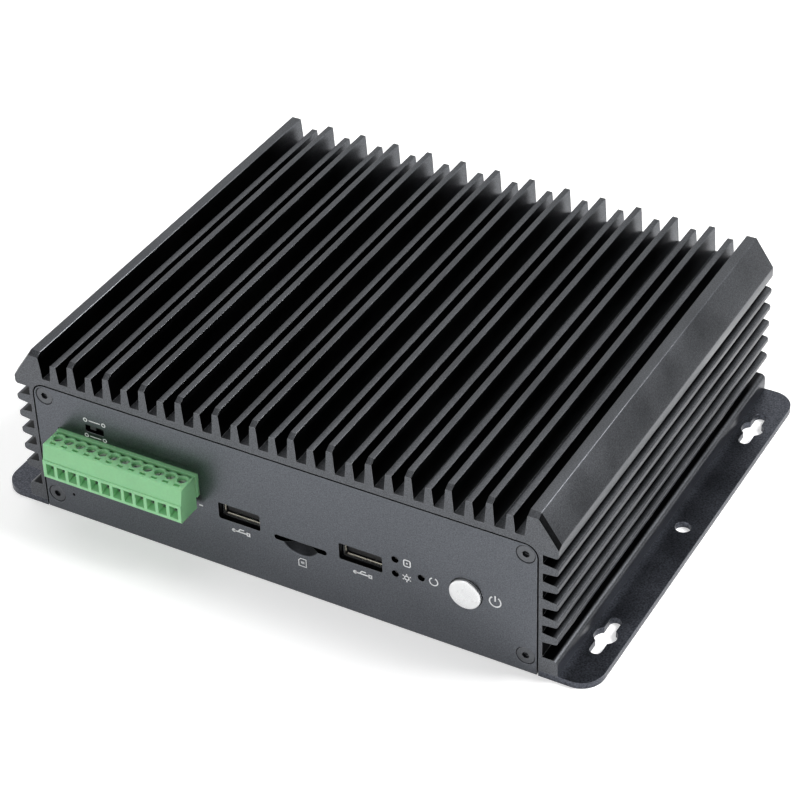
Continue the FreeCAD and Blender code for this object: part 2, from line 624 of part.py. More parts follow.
def front_panel():
    """Front panel with its socket cut-outs, card slot with a thumb scoop, lamp holes and button hole."""
    panel, cutters = panel_blank(FRONT)
    y0, y1 = FRONT - OVER, PANEL_BACK + OVER
    through = y1 - y0
    for x in USB_X:
        cutters.append(rounded_slot(x, USB_Z, USB_CUT[0], USB_CUT[1], CUTOUT_R, y0, y1))
    cutters.append(rounded_slot(CARD_X, CARD_Z, CARD_SLOT[0], CARD_SLOT[1], CARD_SLOT[1] / 2 - EPS, y0, y1))
    depth = math.sqrt(CARD_SCOOP_SPHERE_R ** 2 - CARD_SCOOP_R ** 2)
    ball = Part.makeSphere(CARD_SCOOP_SPHERE_R, V(CARD_X, FRONT - depth, CARD_Z + CARD_SCOOP_UP))
    reach = CARD_SCOOP_SPHERE_R
    below = box(CARD_X - reach, CARD_X + reach, FRONT - reach, y1, CARD_Z - reach, CARD_Z)
    cutters.append(ball.common(below))
    for x, z in LED_HOLES:
        cutters.append(rod(LED_HOLE_R, (x, y0, z), through, Y_AXIS))
    cutters.append(rod(BUTTON_R + BUTTON_GAP, (BUTTON_X, y0, BUTTON_Z), through, Y_AXIS))
    cutters.append(centred(OPTION_X, OPTION_Z, OPTION_WINDOW[0], OPTION_WINDOW[1], y0, y1))
    cutters.append(rod(PIN_HOLE_R, (PIN_HOLE[0], y0, PIN_HOLE[1]), through, Y_AXIS))
    gap = HEADER_CLEARANCE
    cutters.append(box(HEADER_LEFT_X - gap, HEADER_RIGHT_X + gap, y0, y1,
                       HEADER_BOTTOM_Z - gap, HEADER_TOP_Z + gap))
    return panel.cut(cutters)


def rear_panel():
    """Rear panel with the cut-outs of its sockets and the holes of the jack screws."""
    panel, cutters = panel_blank(REAR - PANEL_THICKNESS)
    y0, y1 = REAR - PANEL_THICKNESS - OVER, REAR + OVER
    for x, z, width, height in rear_cutouts():
        cutters.append(rounded_slot(x, z, width, height, CUTOUT_R, y0, y1))
    for x in serial_screw_xs():
        cutters.append(rod(SCREW_R + HOLE_CLEARANCE, (x, y0, SERIAL_Z), y1 - y0, Y_AXIS))
    return panel.cut(cutters)


def panel_screws(end):
    """Four countersunk hex-socket screws at one end: -1 front, 1 rear."""
    inward = Y_AXIS * -end
    thin = SCREW_R - SCREW_CLEARANCE
    seat = end * (REAR - SCREW_SINK)
    low, high = sorted((seat + end * OVER, seat - end * HEX_DEPTH))
    screws = []
    for x, z in panel_screw_places():
        cone = Part.makeCone(SCREW_HEAD_R, thin, SCREW_HEAD_R - thin, V(x, seat, z), inward)
        shank = Part.makeCylinder(thin, SCREW_LENGTH, V(x, seat, z), inward)
        screws.append(fused([cone, shank]).cut(prism_y(hexagon(x, z, HEX_SOCKET), low, high)))
    return group(screws)


# ---------------------------------------------------------------- terminal block
def terminal_plug():
    """Twelve-way screw plug: scalloped screw wells on top, wire entries in front, neck in the header."""
    front, seat = FRONT - PLUG_FRONT, HEADER_FACE - PLUG_SEAT_GAP
    web = FRONT - PLUG_WEB_BACK
    profile = [(front, PLUG_BOTTOM_Z, PLUG_EDGE_R), (front, PLUG_LEDGE_Z, PLUG_EDGE_R),
               (FRONT - PLUG_SHELF_FRONT, PLUG_LEDGE_Z, 0),
               (FRONT - PLUG_UPPER_FRONT, PLUG_TOP_Z, PLUG_EDGE_R),
               (web, PLUG_TOP_Z, 0), (web, NECK_TOP_Z, 0),
               (seat, NECK_TOP_Z, 0), (seat, PLUG_BOTTOM_Z, PLUG_EDGE_R)]
    body = prism_x(profile, PLUG_LEFT_X, PLUG_RIGHT_X)
    collars = [rod(WELL_COLLAR_R, (x, WELL_Y, NECK_TOP_Z), PLUG_TOP_Z - NECK_TOP_Z) for x in POLE_XS]
    posts = [box(x, x + PLUG_POST_WIDTH, web, seat, NECK_TOP_Z, PLUG_TOP_Z)
             for x in (PLUG_LEFT_X, PLUG_RIGHT_X - PLUG_POST_WIDTH)]
    side = HEADER_WALL + NECK_GAP
    neck_end = HEADER_BACK - HEADER_BACK_WALL - NECK_END_GAP
    neck = box(HEADER_LEFT_X + side, HEADER_RIGHT_X - side, seat, neck_end, NECK_LOW_Z, NECK_TOP_Z)
    cutters = []
    for x in POLE_XS:
        cutters.append(rod(WELL_R, (x, WELL_Y, PLUG_TOP_Z - WELL_DEPTH), WELL_DEPTH + OVER))
        shank_hole = rod(CLAMP_SHANK_R + CLAMP_GAP, (x, WELL_Y, ENTRY_TOP_Z - OVER), PLUG_TOP_Z - ENTRY_TOP_Z)
        cutters.append(shank_hole)
        slot_y = FRONT - TEST_SLOT_AHEAD
        cutters.append(box(x - TEST_SLOT_WIDTH / 2, x + TEST_SLOT_WIDTH / 2, slot_y - TEST_SLOT_LENGTH / 2,
                           slot_y + TEST_SLOT_LENGTH / 2, PLUG_TOP_Z - TEST_SLOT_DEPTH, PLUG_TOP_Z + OVER))
        cutters.append(wire_entry(x))
        cutters.append(centred(x, PIN_Z, SOCKET_HOLE, SOCKET_HOLE, FRONT - HEADER_PROUD / 2, HEADER_BACK))
    return fused([body, neck] + collars + posts).cut(cutters)


def wire_entry(x):
    """The space of one wire entry: a square mouth whose floor rises to the cage."""
    mouth = FRONT - PLUG_FRONT
    floor = ENTRY_BOTTOM_Z + ENTRY_RISE
    end = mouth + ENTRY_DEPTH
    profile = [(mouth - OVER, ENTRY_BOTTOM_Z, 0), (mouth, ENTRY_BOTTOM_Z, 0), (mouth + ENTRY_LEAD, floor, 0),
               (end, floor, 0), (end, ENTRY_TOP_Z, 0), (mouth - OVER, ENTRY_TOP_Z, 0)]
    return prism_x(profile, x - ENTRY_WIDTH / 2, x + ENTRY_WIDTH / 2)


def terminal_screws():
    """Twelve slotted clamping screws in the plug's wells."""
    top = PLUG_TOP_Z - CLAMP_SCREW_RECESS
    floor = PLUG_TOP_Z - WELL_DEPTH + CLAMP_GAP
    tip = ENTRY_TOP_Z - CLAMP_SHANK_TIP
    screws = []
    for i, x in enumerate(POLE_XS):
        head = rod(CLAMP_SCREW_R, (x, WELL_Y, floor), top - floor)
        shank = rod(CLAMP_SHANK_R, (x, WELL_Y, tip), floor - tip)
        half = CLAMP_SLOT_WIDTH / 2
        slot = box(x - WELL_R, x + WELL_R, WELL_Y - half, WELL_Y + half, top - CLAMP_SLOT_DEPTH, top + OVER)
        slot.rotate(V(x, WELL_Y, top), Z_AXIS, CLAMP_SLOT_FIRST + CLAMP_SLOT_STEP * i)
        screws.append(fused([head, shank]).cut(slot))
    return group(screws)


def terminal_clamps():
    """Twelve square metal cages in the wire entries, each with an opening for its screw."""
    clamps = []
    w = ENTRY_WIDTH / 2 - CLAMP_GAP
    z0, z1 = ENTRY_BOTTOM_Z + ENTRY_RISE + CLAMP_GAP, ENTRY_TOP_Z - CLAMP_GAP
    for x in POLE_XS:
        cage = box(x - w, x + w, CLAMP_FRONT, CLAMP_FRONT + CLAMP_LENGTH, z0, z1)
        bore = box(x - w + CLAMP_WALL, x + w - CLAMP_WALL, CLAMP_FRONT - OVER,
                   CLAMP_FRONT + CLAMP_LENGTH + OVER, z0 + CLAMP_WALL, z1 - CLAMP_WALL)
        r = CLAMP_SHANK_R + CLAMP_GAP
        hole = box(x - r, x + r, WELL_Y - r, WELL_Y + r, z1 - OVER, z1 + OVER)
        clamps.append(cage.cut([bore, hole]))
    return group(clamps)


def terminal_header():
    """Shrouded header that stands on the board, its rim a little out of the panel."""
    block = box(HEADER_LEFT_X, HEADER_RIGHT_X, HEADER_FACE, HEADER_BACK, HEADER_BOTTOM_Z, HEADER_TOP_Z)
    hollow = box(HEADER_LEFT_X + HEADER_WALL, HEADER_RIGHT_X - HEADER_WALL, HEADER_FACE - OVER,
                 HEADER_BACK - HEADER_BACK_WALL, HEADER_BOTTOM_Z + HEADER_WALL, HEADER_TOP_Z - HEADER_WALL)
    size = PIN_SIZE + 2 * SCREW_CLEARANCE
    holes = [centred(x, PIN_Z, size, size, HEADER_FACE, HEADER_BACK + OVER) for x in POLE_XS]
    return block.cut([hollow] + holes)


def terminal_pins():
    """Twelve bent pins through the header's back wall and down into the board."""
    h = PIN_SIZE / 2
    pins = []
    for x in POLE_XS:
        flat = box(x - h, x + h, FRONT + PIN_TIP, PIN_LEG_Y + h, PIN_Z - h, PIN_Z + h)
        leg = box(x - h, x + h, PIN_LEG_Y - h, PIN_LEG_Y + h, BOARD_UNDER_Z - 1.5 * PIN_SIZE, PIN_Z + h)
        pins.append(fused([flat, leg]))
    return group(pins)


# ---------------------------------------------------------------- front sockets and controls
def side_tabs(x, half, y, length, z):
    """A strip under z that carries a sunk piece of half-width half by its sides."""
    return box(x - half - TAB_WIDTH, x + half + TAB_WIDTH, y - length / 2, y + length / 2, z - TAB_SHEET, z)


def usb_inner(grow):
    """Width and height inside a shell, larger by grow."""
    return [size - 2 * USB_SHEET + grow for size in USB_SHELL]


def usb_shell(x, z, end=-1):
    """Folded metal shell of a socket; its mouth meets the panel's inner face at the given end.

    A front shell is sunk in a notch of the board, and its side tabs lie under the board.
    """
    face = end * (BODY_LENGTH / 2 - PANEL_THICKNESS - SEAT_GAP)
    low, high = sorted((face, face - end * USB_DEPTH))
    outer = rounded_slot(x, z, USB_SHELL[0], USB_SHELL[1], USB_CORNER_R, low, high)
    if end < 0:
        tabs = side_tabs(x, USB_SHELL[0] / 2, (low + high) / 2, USB_TAB_LENGTH, BOARD_UNDER_Z)
        outer = fused([outer, tabs])
    width, height = usb_inner(0)
    cut_low, cut_high = sorted((face + end, face - end * (USB_DEPTH - 2 * USB_SHEET)))
    return outer.cut(rounded_slot(x, z, width, height, USB_CORNER_R - USB_SHEET, cut_low, cut_high))


def usb_tongue(x, z, end=-1):
    """Plastic tongue with its block at the back of the shell."""
    face = end * (BODY_LENGTH / 2 - PANEL_THICKNESS - SEAT_GAP)
    back = face - end * (USB_DEPTH - 2 * USB_SHEET - SEAT_GAP)
    low, high = sorted((face - end * USB_TONGUE_SETBACK, back))
    tongue = rounded_slot(x, z - USB_TONGUE_LOW, USB_TONGUE[0], USB_TONGUE[1], USB_CORNER_R / 2, low, high)
    low, high = sorted((back + end * USB_BLOCK_DEPTH, back))
    width, height = usb_inner(-2 * SEAT_GAP)
    return fused([tongue, rounded_slot(x, z, width, height, USB_CORNER_R - USB_SHEET, low, high)])


def card_socket():
    """Card socket hanging from the board behind the slot."""
    width, length = CARD_SOCKET
    y0 = PANEL_BACK + SEAT_GAP
    body = box(CARD_X - width / 2, CARD_X + width / 2, y0, y0 + length, CARD_Z - CARD_WALL, BOARD_UNDER_Z)
    mouth = centred(CARD_X, CARD_Z, CARD_MOUTH[0], CARD_MOUTH[1], y0 - OVER, y0 + length - CARD_WALL)
    return body.cut(mouth)


def lamp_holder():
    """Black block behind the panel that holds the three lamps."""
    xs, zs = zip(*LED_HOLES)
    wide, high = HOLDER_MARGIN
    x0, x1 = min(xs) - wide, max(xs) + wide
    y0 = PANEL_BACK + SEAT_GAP
    y1 = BOARD_FRONT - 2 * SEAT_GAP
    plate = box(x0, x1, y0, y1, min(zs) - high, max(zs) + high)
    block = box(x0, x1, y0, y0 + HOLDER_DEPTH, min(zs) - high, BOARD_UNDER_Z)
    depth = y1 - y0 - LAMP_FIT
    holes = [rod(LAMP_R + LAMP_FIT, (x, y0 - OVER, z), depth + OVER, Y_AXIS) for x, z in LED_HOLES]
    return fused([plate, block]).cut(holes)


def status_lamps():
    """Three round-nosed lamps in the holder, set back in the panel's holes."""
    lamps = []
    y1 = BOARD_FRONT - LAMP_END_GAP
    for x, z in LED_HOLES:
        tip = FRONT + LAMP_SETBACK
        nose = Part.makeCone(LAMP_R - LAMP_NOSE, LAMP_R, LAMP_NOSE, V(x, tip, z), Y_AXIS)
        lamps.append(fused([nose, rod(LAMP_R, (x, tip + LAMP_NOSE, z), y1 - tip - LAMP_NOSE, Y_AXIS)]))
    return group(lamps)


def power_button_cap():
    """Round metal cap with a retaining flange behind the panel and a stem to its switch."""
    front = FRONT - BUTTON_PROUD
    back = PANEL_BACK + BUTTON_SEAT_GAP
    face = Part.makeCone(BUTTON_R - BUTTON_EDGE, BUTTON_R, BUTTON_EDGE, V(BUTTON_X, front, BUTTON_Z), Y_AXIS)
    disc = rod(BUTTON_R, (BUTTON_X, front + BUTTON_EDGE, BUTTON_Z), back - front - BUTTON_EDGE, Y_AXIS)
    flange = rod(BUTTON_FLANGE_R, (BUTTON_X, back, BUTTON_Z), BUTTON_FLANGE, Y_AXIS)
    stem = rod(BUTTON_STEM_R, (BUTTON_X, back, BUTTON_Z), BUTTON_FLANGE + BUTTON_STEM, Y_AXIS)
    return fused([face, disc, flange, stem])


def power_button_switch():
    """Push switch sunk in the board, with side tabs under it; its bore takes the cap's stem."""
    side, depth = BUTTON_SWITCH
    body = centred(BUTTON_X, BUTTON_Z, side, side, BUTTON_SWITCH_Y, BUTTON_SWITCH_Y + depth)
    tabs = side_tabs(BUTTON_X, side / 2, BUTTON_SWITCH_Y + depth / 2, depth - OVER, BOARD_UNDER_Z)
    bore = rod(BUTTON_STEM_R + BUTTON_GAP, (BUTTON_X, BUTTON_SWITCH_Y - OVER, BUTTON_Z),
               OVER + BUTTON_STEM_IN + BUTTON_TRAVEL + BUTTON_GAP, Y_AXIS)
    return fused([body, tabs]).cut(bore)


def reset_plunger():
    """Plunger behind the pin hole."""
    x, z = PIN_HOLE
    face = FRONT + RESET_SWITCH_Y
    length = RESET_PLUNGER_OUT + RESET_PLUNGER_IN
    return rod(RESET_PLUNGER_R, (x, face - RESET_PLUNGER_OUT, z), length, Y_AXIS)


def reset_switch():
    """Small switch whose bore the plunger slides in."""
    x, z = PIN_HOLE
    side, depth = RESET_SWITCH
    face = FRONT + RESET_SWITCH_Y
    body = centred(x, z, side, side, face, face + depth)
    reach = OVER + RESET_PLUNGER_IN + RESET_TRAVEL + RESET_CLEARANCE
    return body.cut(rod(RESET_PLUNGER_R + RESET_CLEARANCE, (x, face - OVER, z), reach, Y_AXIS))


def reset_board():
    """Upright board that carries the reset switch down from the main board."""
    x, z = PIN_HOLE
    half = RESET_SWITCH[0] / 2
    y0 = FRONT + RESET_SWITCH_Y + RESET_SWITCH[1]
    right, below = RESET_BOARD_MARGIN
    return box(x - half, x + half + right, y0, y0 + RESET_BOARD_THICKNESS, z - half - below, BOARD_UNDER_Z)


def option_board():
    """Small board above the header that carries the slide switch."""
    width, length = OPTION_BOARD
    y0 = BOARD_FRONT - OPTION_BOARD_AHEAD
    return box(OPTION_X - width / 2, OPTION_X + width / 2, y0, y0 + length,
               OPTION_BOARD_TOP - OPTION_BOARD_THICKNESS, OPTION_BOARD_TOP)


def option_board_spacers():
    """Two spacers between the main board and the small board."""
    y = HEADER_BACK + OPTION_SPACER_BEHIND
    height = OPTION_BOARD_TOP - OPTION_BOARD_THICKNESS - BOARD_TOP_Z
    return group([rod(OPTION_SPACER_R, (OPTION_X + sx * OPTION_SPACER_HALF, y, BOARD_TOP_Z), height)
                  for sx in (-1, 1)])


def option_switch_body():
    """Slide switch body with the slot that its knob runs in."""
    width, height, depth = OPTION_BODY
    y0 = PANEL_BACK + SEAT_GAP
    body = centred(OPTION_X, OPTION_Z, width, height, y0, y0 + depth)
    slot = centred(OPTION_X, OPTION_Z, OPTION_TRAVEL + OPTION_KNOB[0] + 2 * OPTION_END_GAP,
                   OPTION_KNOB[1] + 2 * OPTION_SIDE_GAP, y0 - OVER, y0 + OPTION_KNOB_IN + OPTION_SIDE_GAP)
    return body.cut(slot)


def option_switch_knob():
    """Knob of the slide switch, at its left position."""
    x = OPTION_X - OPTION_TRAVEL / 2
    return centred(x, OPTION_Z, OPTION_KNOB[0], OPTION_KNOB[1], FRONT + OPTION_KNOB_SETBACK,
                   PANEL_BACK + SEAT_GAP + OPTION_KNOB_IN)


# ---------------------------------------------------------------- boards and what is on them
def main_board():
    """Main circuit board, with notches for the sunk sockets and the button, and holes for pins and screws."""
    w = BOARD_HALF_WIDTH
    low, high = BOARD_UNDER_Z - OVER, BOARD_TOP_Z + OVER
    board = box(-w, w, BOARD_FRONT, BOARD_REAR, BOARD_UNDER_Z, BOARD_TOP_Z)
    cutters = [rod(SCREW_R + HOLE_CLEARANCE, (x, y, low), high - low) for x, y in standoff_places()]
    for x in USB_X:
        half = USB_SHELL[0] / 2 + NOTCH_GAP
        back = PANEL_BACK + SEAT_GAP + USB_DEPTH + NOTCH_GAP
        cutters.append(box(x - half, x + half, BOARD_FRONT - OVER, back, low, high))
    half = BUTTON_FLANGE_R + OVER
    back = PANEL_BACK + BUTTON_SEAT_GAP + BUTTON_FLANGE + BUTTON_TRAVEL + OVER
    cutters.append(box(BUTTON_X - half, BUTTON_X + half, BOARD_FRONT - OVER, back, low, high))
    half = BUTTON_SWITCH[0] / 2 + NOTCH_GAP
    back = BUTTON_SWITCH_Y + BUTTON_SWITCH[1] + NOTCH_GAP
    cutters.append(box(BUTTON_X - half, BUTTON_X + half, BOARD_FRONT - OVER, back, low, high))
    h = PIN_SIZE / 2 + PIN_HOLE_CLEARANCE
    cutters += [box(x - h, x + h, PIN_LEG_Y - h, PIN_LEG_Y + h, low, high) for x in POLE_XS]
    return board.cut(cutters)


def board_standoffs():
    """Four posts from the base plate to the board."""
    posts = []
    for x, y in standoff_places():
        post = prism_z(hexagon(x, y, STANDOFF_ACROSS), PLATE_THICKNESS, BOARD_UNDER_Z)
        posts.append(post.cut(rod(SCREW_R, (x, y, 0), BOARD_TOP_Z)))
    return group(posts)


def board_screws():
    """Four pan-head screws that hold the board on its posts."""
    screws = []
    for x, y in standoff_places():
        head = rod(BOARD_SCREW_HEAD_R, (x, y, BOARD_TOP_Z), BOARD_SCREW_HEAD_H)
        shank = rod(SCREW_R - SCREW_CLEARANCE, (x, y, BOARD_TOP_Z - BOARD_SCREW_LENGTH), BOARD_SCREW_LENGTH)
        screws.append(fused([head, shank]))
    return group(screws)


def block_on(at, size, z):
    """A block of size (x, y, z) centred over a point, standing at z."""
    x, y = at
    return box(x - size[0] / 2, x + size[0] / 2, y - size[1] / 2, y + size[1] / 2, z, z + size[2])


def processor():
    """Processor package on the board."""
    return block_on(CHIP_AT, CHIP, BOARD_TOP_Z)


def thermal_pad():
    """Soft pad between the processor and the heat block."""
    return block_on(CHIP_AT, (CHIP[0], CHIP[1], PAD_THICKNESS), BOARD_TOP_Z + CHIP[2])


def heat_block():
    """Aluminium block that carries heat up into the housing's roof."""
    grow, step = HEAT_FOOT
    z = BOARD_TOP_Z + CHIP[2] + PAD_THICKNESS
    foot = block_on(CHIP_AT, (CHIP[0] + 2 * grow, CHIP[1] + 2 * grow, step), z)
    return fused([foot, block_on(CHIP_AT, HEAT_BLOCK + (CAVITY_TOP - z - step,), z + step)])


def memory_socket():
    """Socket of the memory module, under the board, with its two arms."""
    x, y = MEMORY_AT
    w, l, h = MEMORY_SOCKET
    low = BOARD_UNDER_Z - h
    body = box(x - w / 2, x + w / 2, y - l, y, low, BOARD_UNDER_Z)
    far = y + MEMORY[1] - MEMORY_ARM_SHORT
    arms = [box(left, left + MEMORY_ARM, y, far, low, BOARD_UNDER_Z)
            for left in (x - w / 2, x + w / 2 - MEMORY_ARM)]
    half = MEMORY[0] / 2 + NOTCH_GAP
    floor = low + SLOT_FLOOR
    slot = box(x - half, x + half, y - CARD_EDGE_IN - 2 * SEAT_GAP, y + OVER, floor,
               floor + MEMORY[2] + 2 * SEAT_GAP)
    return fused([body] + arms).cut(slot)


def memory_module():
    """Memory module lying parallel to the board in its socket."""
    x, y = MEMORY_AT
    z = BOARD_UNDER_Z - MEMORY_SOCKET[2] + SLOT_FLOOR + SEAT_GAP
    y0 = y - CARD_EDGE_IN
    card = box(x - MEMORY[0] / 2, x + MEMORY[0] / 2, y0, y0 + MEMORY[1], z, z + MEMORY[2])
    middle = y0 + MEMORY[1] / 2
    chips = [block_on((x + dx, middle), MEMORY_CHIP, z - MEMORY_CHIP[2]) for dx in MEMORY_CHIP_X]
    return fused([card] + chips)


def drive_socket():
    """Edge socket of the storage drive, under the board."""
    x, y = DRIVE_AT
    w = DRIVE[0] / 2
    low = BOARD_UNDER_Z - DRIVE_DROP
    body = box(x - w, x + w, y - DRIVE_SOCKET_DEPTH, y, low - SLOT_FLOOR, BOARD_UNDER_Z)
    half = w - DRIVE_NECK_STEP + NOTCH_GAP
    slot = box(x - half, x + half, y - CARD_EDGE_IN - 2 * SEAT_GAP, y + OVER, low - SEAT_GAP,
               low + DRIVE[2] + SEAT_GAP)
    return body.cut(slot)


def storage_drive():
    """Solid-state drive card in its socket, notched round its post at the far end."""
    x, y = DRIVE_AT
    z = BOARD_UNDER_Z - DRIVE_DROP
    w = DRIVE[0] / 2
    half = w - DRIVE_NECK_STEP
    neck = box(x - half, x + half, y - CARD_EDGE_IN, y, z, z + DRIVE[2])
    card = box(x - w, x + w, y, y + DRIVE[1], z, z + DRIVE[2])
    first = y + DRIVE[1] / 2 - DRIVE_CHIP_PITCH / 2 - OVER
    chips = [block_on((x, first + i * DRIVE_CHIP_PITCH), DRIVE_CHIP, z - DRIVE_CHIP[2]) for i in range(2)]
    notch = rod(DRIVE_NECK_R + HOLE_CLEARANCE, (x, y + DRIVE[1], z - OVER), DRIVE[2] + 2 * OVER)
    return fused([neck, card] + chips).cut(notch)


def drive_post():
    """Post and screw that hold the drive's far end."""
    x, y = DRIVE_AT[0], DRIVE_AT[1] + DRIVE[1]
    z = BOARD_UNDER_Z - DRIVE_DROP
    post = rod(DRIVE_POST_R, (x, y, z + DRIVE[2]), DRIVE_DROP - DRIVE[2])
    r, h = DRIVE_HEAD
    neck = rod(DRIVE_NECK_R, (x, y, z - 2 * SEAT_GAP), DRIVE_DROP + 2 * SEAT_GAP)
    return fused([post, neck, rod(r, (x, y, z - SEAT_GAP - h), h)])


def cell_holder():
    """Holder of the clock's coin cell, under the board."""
    x, y = CELL_AT
    body = rod(CELL_R + CELL_HOLDER_WALL, (x, y, BOARD_UNDER_Z - CELL_HOLDER_H), CELL_HOLDER_H)
    return body.cut(rod(CELL_R + CELL_CLEARANCE, (x, y, BOARD_UNDER_Z - CELL_HOLDER_H - OVER), CELL_H + OVER))


def coin_cell():
    """Coin cell in its holder."""
    x, y = CELL_AT
    return rod(CELL_R, (x, y, BOARD_UNDER_Z - CELL_HOLDER_H), CELL_H)


def board_capacitors():
    """Power capacitors and coils that stand on the board."""
    r, h = CAPACITOR
    x, y = CAPACITOR_AT
    cans = [rod(r, (x + i * CAPACITOR_PITCH, y, BOARD_TOP_Z), h) for i in range(CAPACITOR_COUNT)]
    side, height = COIL
    x, y = COIL_AT
    coils = [block_on((x + i * COIL_PITCH, y), (side, side, height), BOARD_TOP_Z) for i in range(COIL_COUNT)]
    return group(cans + coils)


# ---------------------------------------------------------------- rear sockets
def rear_cutouts():
    """Each rear cut-out's centre x, centre z, width and height."""
    grow = 2 * SOCKET_CLEARANCE
    cuts = [(DC_X, DC_Z, DC_SIZE[0] + grow, DC_SIZE[1] + grow),
            (DISPLAY_X, DISPLAY_Z, DISPLAY_SIZE[0] + grow, DISPLAY_SIZE[1] + grow),
            (SERIAL_X, SERIAL_Z, SERIAL_SHELL[0] + grow, SERIAL_SHELL[1] + grow)]
    cuts += [(x, LAN_Z, LAN_SIZE[0] + grow, LAN_SIZE[1] + grow) for x in LAN_X]
    return cuts + [(x, USB_REAR_Z, USB_CUT[0], USB_CUT[1]) for x in USB_REAR_X]


def dc_jack():
    """Power inlet for a barrel plug."""
    w, h, d = DC_SIZE
    y1 = REAR - DC_INSET
    bore = rod(DC_BORE_R, (DC_X, y1 - DC_BORE_DEPTH, DC_Z), DC_BORE_DEPTH + OVER, Y_AXIS)
    return centred(DC_X, DC_Z, w, h, y1 - d, y1).cut(bore)


def dc_pin():
    """Centre pin of the power inlet."""
    return rod(DC_PIN_R, (DC_X, REAR - DC_INSET - DC_BORE_DEPTH, DC_Z), DC_BORE_DEPTH - OVER, Y_AXIS)


def display_shell():
    """Metal shell of the display socket, with its two lower corners cut off."""
    w, h, d = DISPLAY_SIZE

    def form(inset, y0, y1):
        hw, hh, r = w / 2 - inset, h / 2 - inset, DISPLAY_CORNER_R
        shelf, foot = DISPLAY_Z - DISPLAY_SHELF, hw - DISPLAY_CHAMFER
        return prism_y([(DISPLAY_X - hw, DISPLAY_Z + hh, r), (DISPLAY_X + hw, DISPLAY_Z + hh, r),
                        (DISPLAY_X + hw, shelf, r), (DISPLAY_X + foot, DISPLAY_Z - hh, r),
                        (DISPLAY_X - foot, DISPLAY_Z - hh, r), (DISPLAY_X - hw, shelf, r)], y0, y1)
    hollow = form(DISPLAY_SHEET, REAR_FACE - d + 2 * DISPLAY_SHEET, REAR_FACE + OVER)
    return form(0, REAR_FACE - d, REAR_FACE).cut(hollow)


def display_tongue():
    """Plastic tongue of the display socket, standing on a block at the back of the shell."""
    back = REAR_FACE - DISPLAY_SIZE[2] + 2 * DISPLAY_SHEET + SEAT_GAP
    width, height = DISPLAY_TONGUE
    tongue = centred(DISPLAY_X, DISPLAY_Z, width, height, back, REAR_FACE - DISPLAY_TONGUE_SETBACK)
    width, height, depth = DISPLAY_BLOCK
    block = centred(DISPLAY_X, DISPLAY_Z + DISPLAY_SHELF / 2, width, height, back, back + depth)
    return fused([tongue, block])


def lan_socket(x):
    """Shielded network socket with its stepped mouth, latch side down."""
    w, h, d = LAN_SIZE
    mw, mh, md = LAN_MOUTH
    y1 = REAR - LAN_INSET
    mouth_z = LAN_Z + LAN_MOUTH_UP
    mouth = centred(x, mouth_z, mw, mh, y1 - md, y1 + OVER)
    half, drop = LAN_LATCH[0] / 2, mh / 2 + LAN_LATCH[1]
    latch = box(x - half, x + half, y1 - md, y1 + OVER, mouth_z - drop, mouth_z)
    return centred(x, LAN_Z, w, h, y1 - d, y1).cut([mouth, latch])


def serial_shell():
    """Flange and D-shaped shell of the serial socket."""
    fw, fh, ft = SERIAL_FLANGE
    w, h = SERIAL_SHELL
    y0 = REAR_FACE - ft

    def dee(inset, y_low, y_high):
        hw, hh, r = w / 2 - inset, h / 2 - inset, SERIAL_CORNER_R
        foot = hw - SERIAL_LEAN
        return prism_y([(SERIAL_X - hw, SERIAL_Z + hh, r), (SERIAL_X + hw, SERIAL_Z + hh, r),
                        (SERIAL_X + foot, SERIAL_Z - hh, r), (SERIAL_X - foot, SERIAL_Z - hh, r)],
                       y_low, y_high)
    body = fused([centred(SERIAL_X, SERIAL_Z, fw, fh, y0, REAR_FACE), dee(0, y0, REAR + SERIAL_SHELL_OUT)])
    wide = SCREW_R + HOLE_CLEARANCE
    holes = [rod(wide, (x, y0 - OVER, SERIAL_Z), 3 * OVER, Y_AXIS) for x in serial_screw_xs()]
    return body.cut([dee(SERIAL_SHEET, y0 - OVER, REAR + SERIAL_SHELL_OUT + OVER)] + holes)


def serial_screw_xs():
    """Centres of the two jack screws."""
    return [SERIAL_X + sx * SERIAL_SCREW_HALF for sx in (-1, 1)]


def serial_insert():
    """Plastic block of the serial socket, fixed under the board, with its face inside the shell."""
    width, height, reach = SERIAL_FACE
    y0 = REAR_FACE - SERIAL_FLANGE[2]
    face = centred(SERIAL_X, SERIAL_Z, width, height, y0, REAR_FACE + reach)
    width, depth = SERIAL_BLOCK
    block = box(SERIAL_X - width / 2, SERIAL_X + width / 2, y0 - depth, y0, SERIAL_Z - SERIAL_BLOCK_DROP,
                BOARD_UNDER_Z)
    return fused([face, block])


def serial_pins():
    """Nine contact pins in two rows."""
    pins = []
    r, length = SERIAL_PIN
    for row, count in ((1, SERIAL_UPPER_COUNT), (-1, SERIAL_LOWER_COUNT)):
        for i in range(count):
            x = SERIAL_X + (i - (count - 1) / 2) * SERIAL_CONTACT_PITCH
            start = (x, REAR_FACE + SERIAL_FACE[2], SERIAL_Z + row * SERIAL_CONTACT_ROW)
            pins.append(rod(r, start, length, Y_AXIS))
    return group(pins)


def serial_jackscrews():
    """Two hexagonal jack screws beside the serial socket."""
    screws = []
    for x in serial_screw_xs():
        head = prism_y(hexagon(x, SERIAL_Z, JACKSCREW_ACROSS), REAR, REAR + JACKSCREW_HEAD)
        start = (x, REAR - JACKSCREW_LENGTH, SERIAL_Z)
        shank = rod(SCREW_R - SCREW_CLEARANCE, start, JACKSCREW_LENGTH, Y_AXIS)
        bottom = (x, REAR + JACKSCREW_HEAD - JACKSCREW_BORE, SERIAL_Z)
        bore = rod(JACKSCREW_BORE_R, bottom, JACKSCREW_BORE, Y_AXIS)
        screws.append(fused([head, shank]).cut(bore))
    return group(screws)


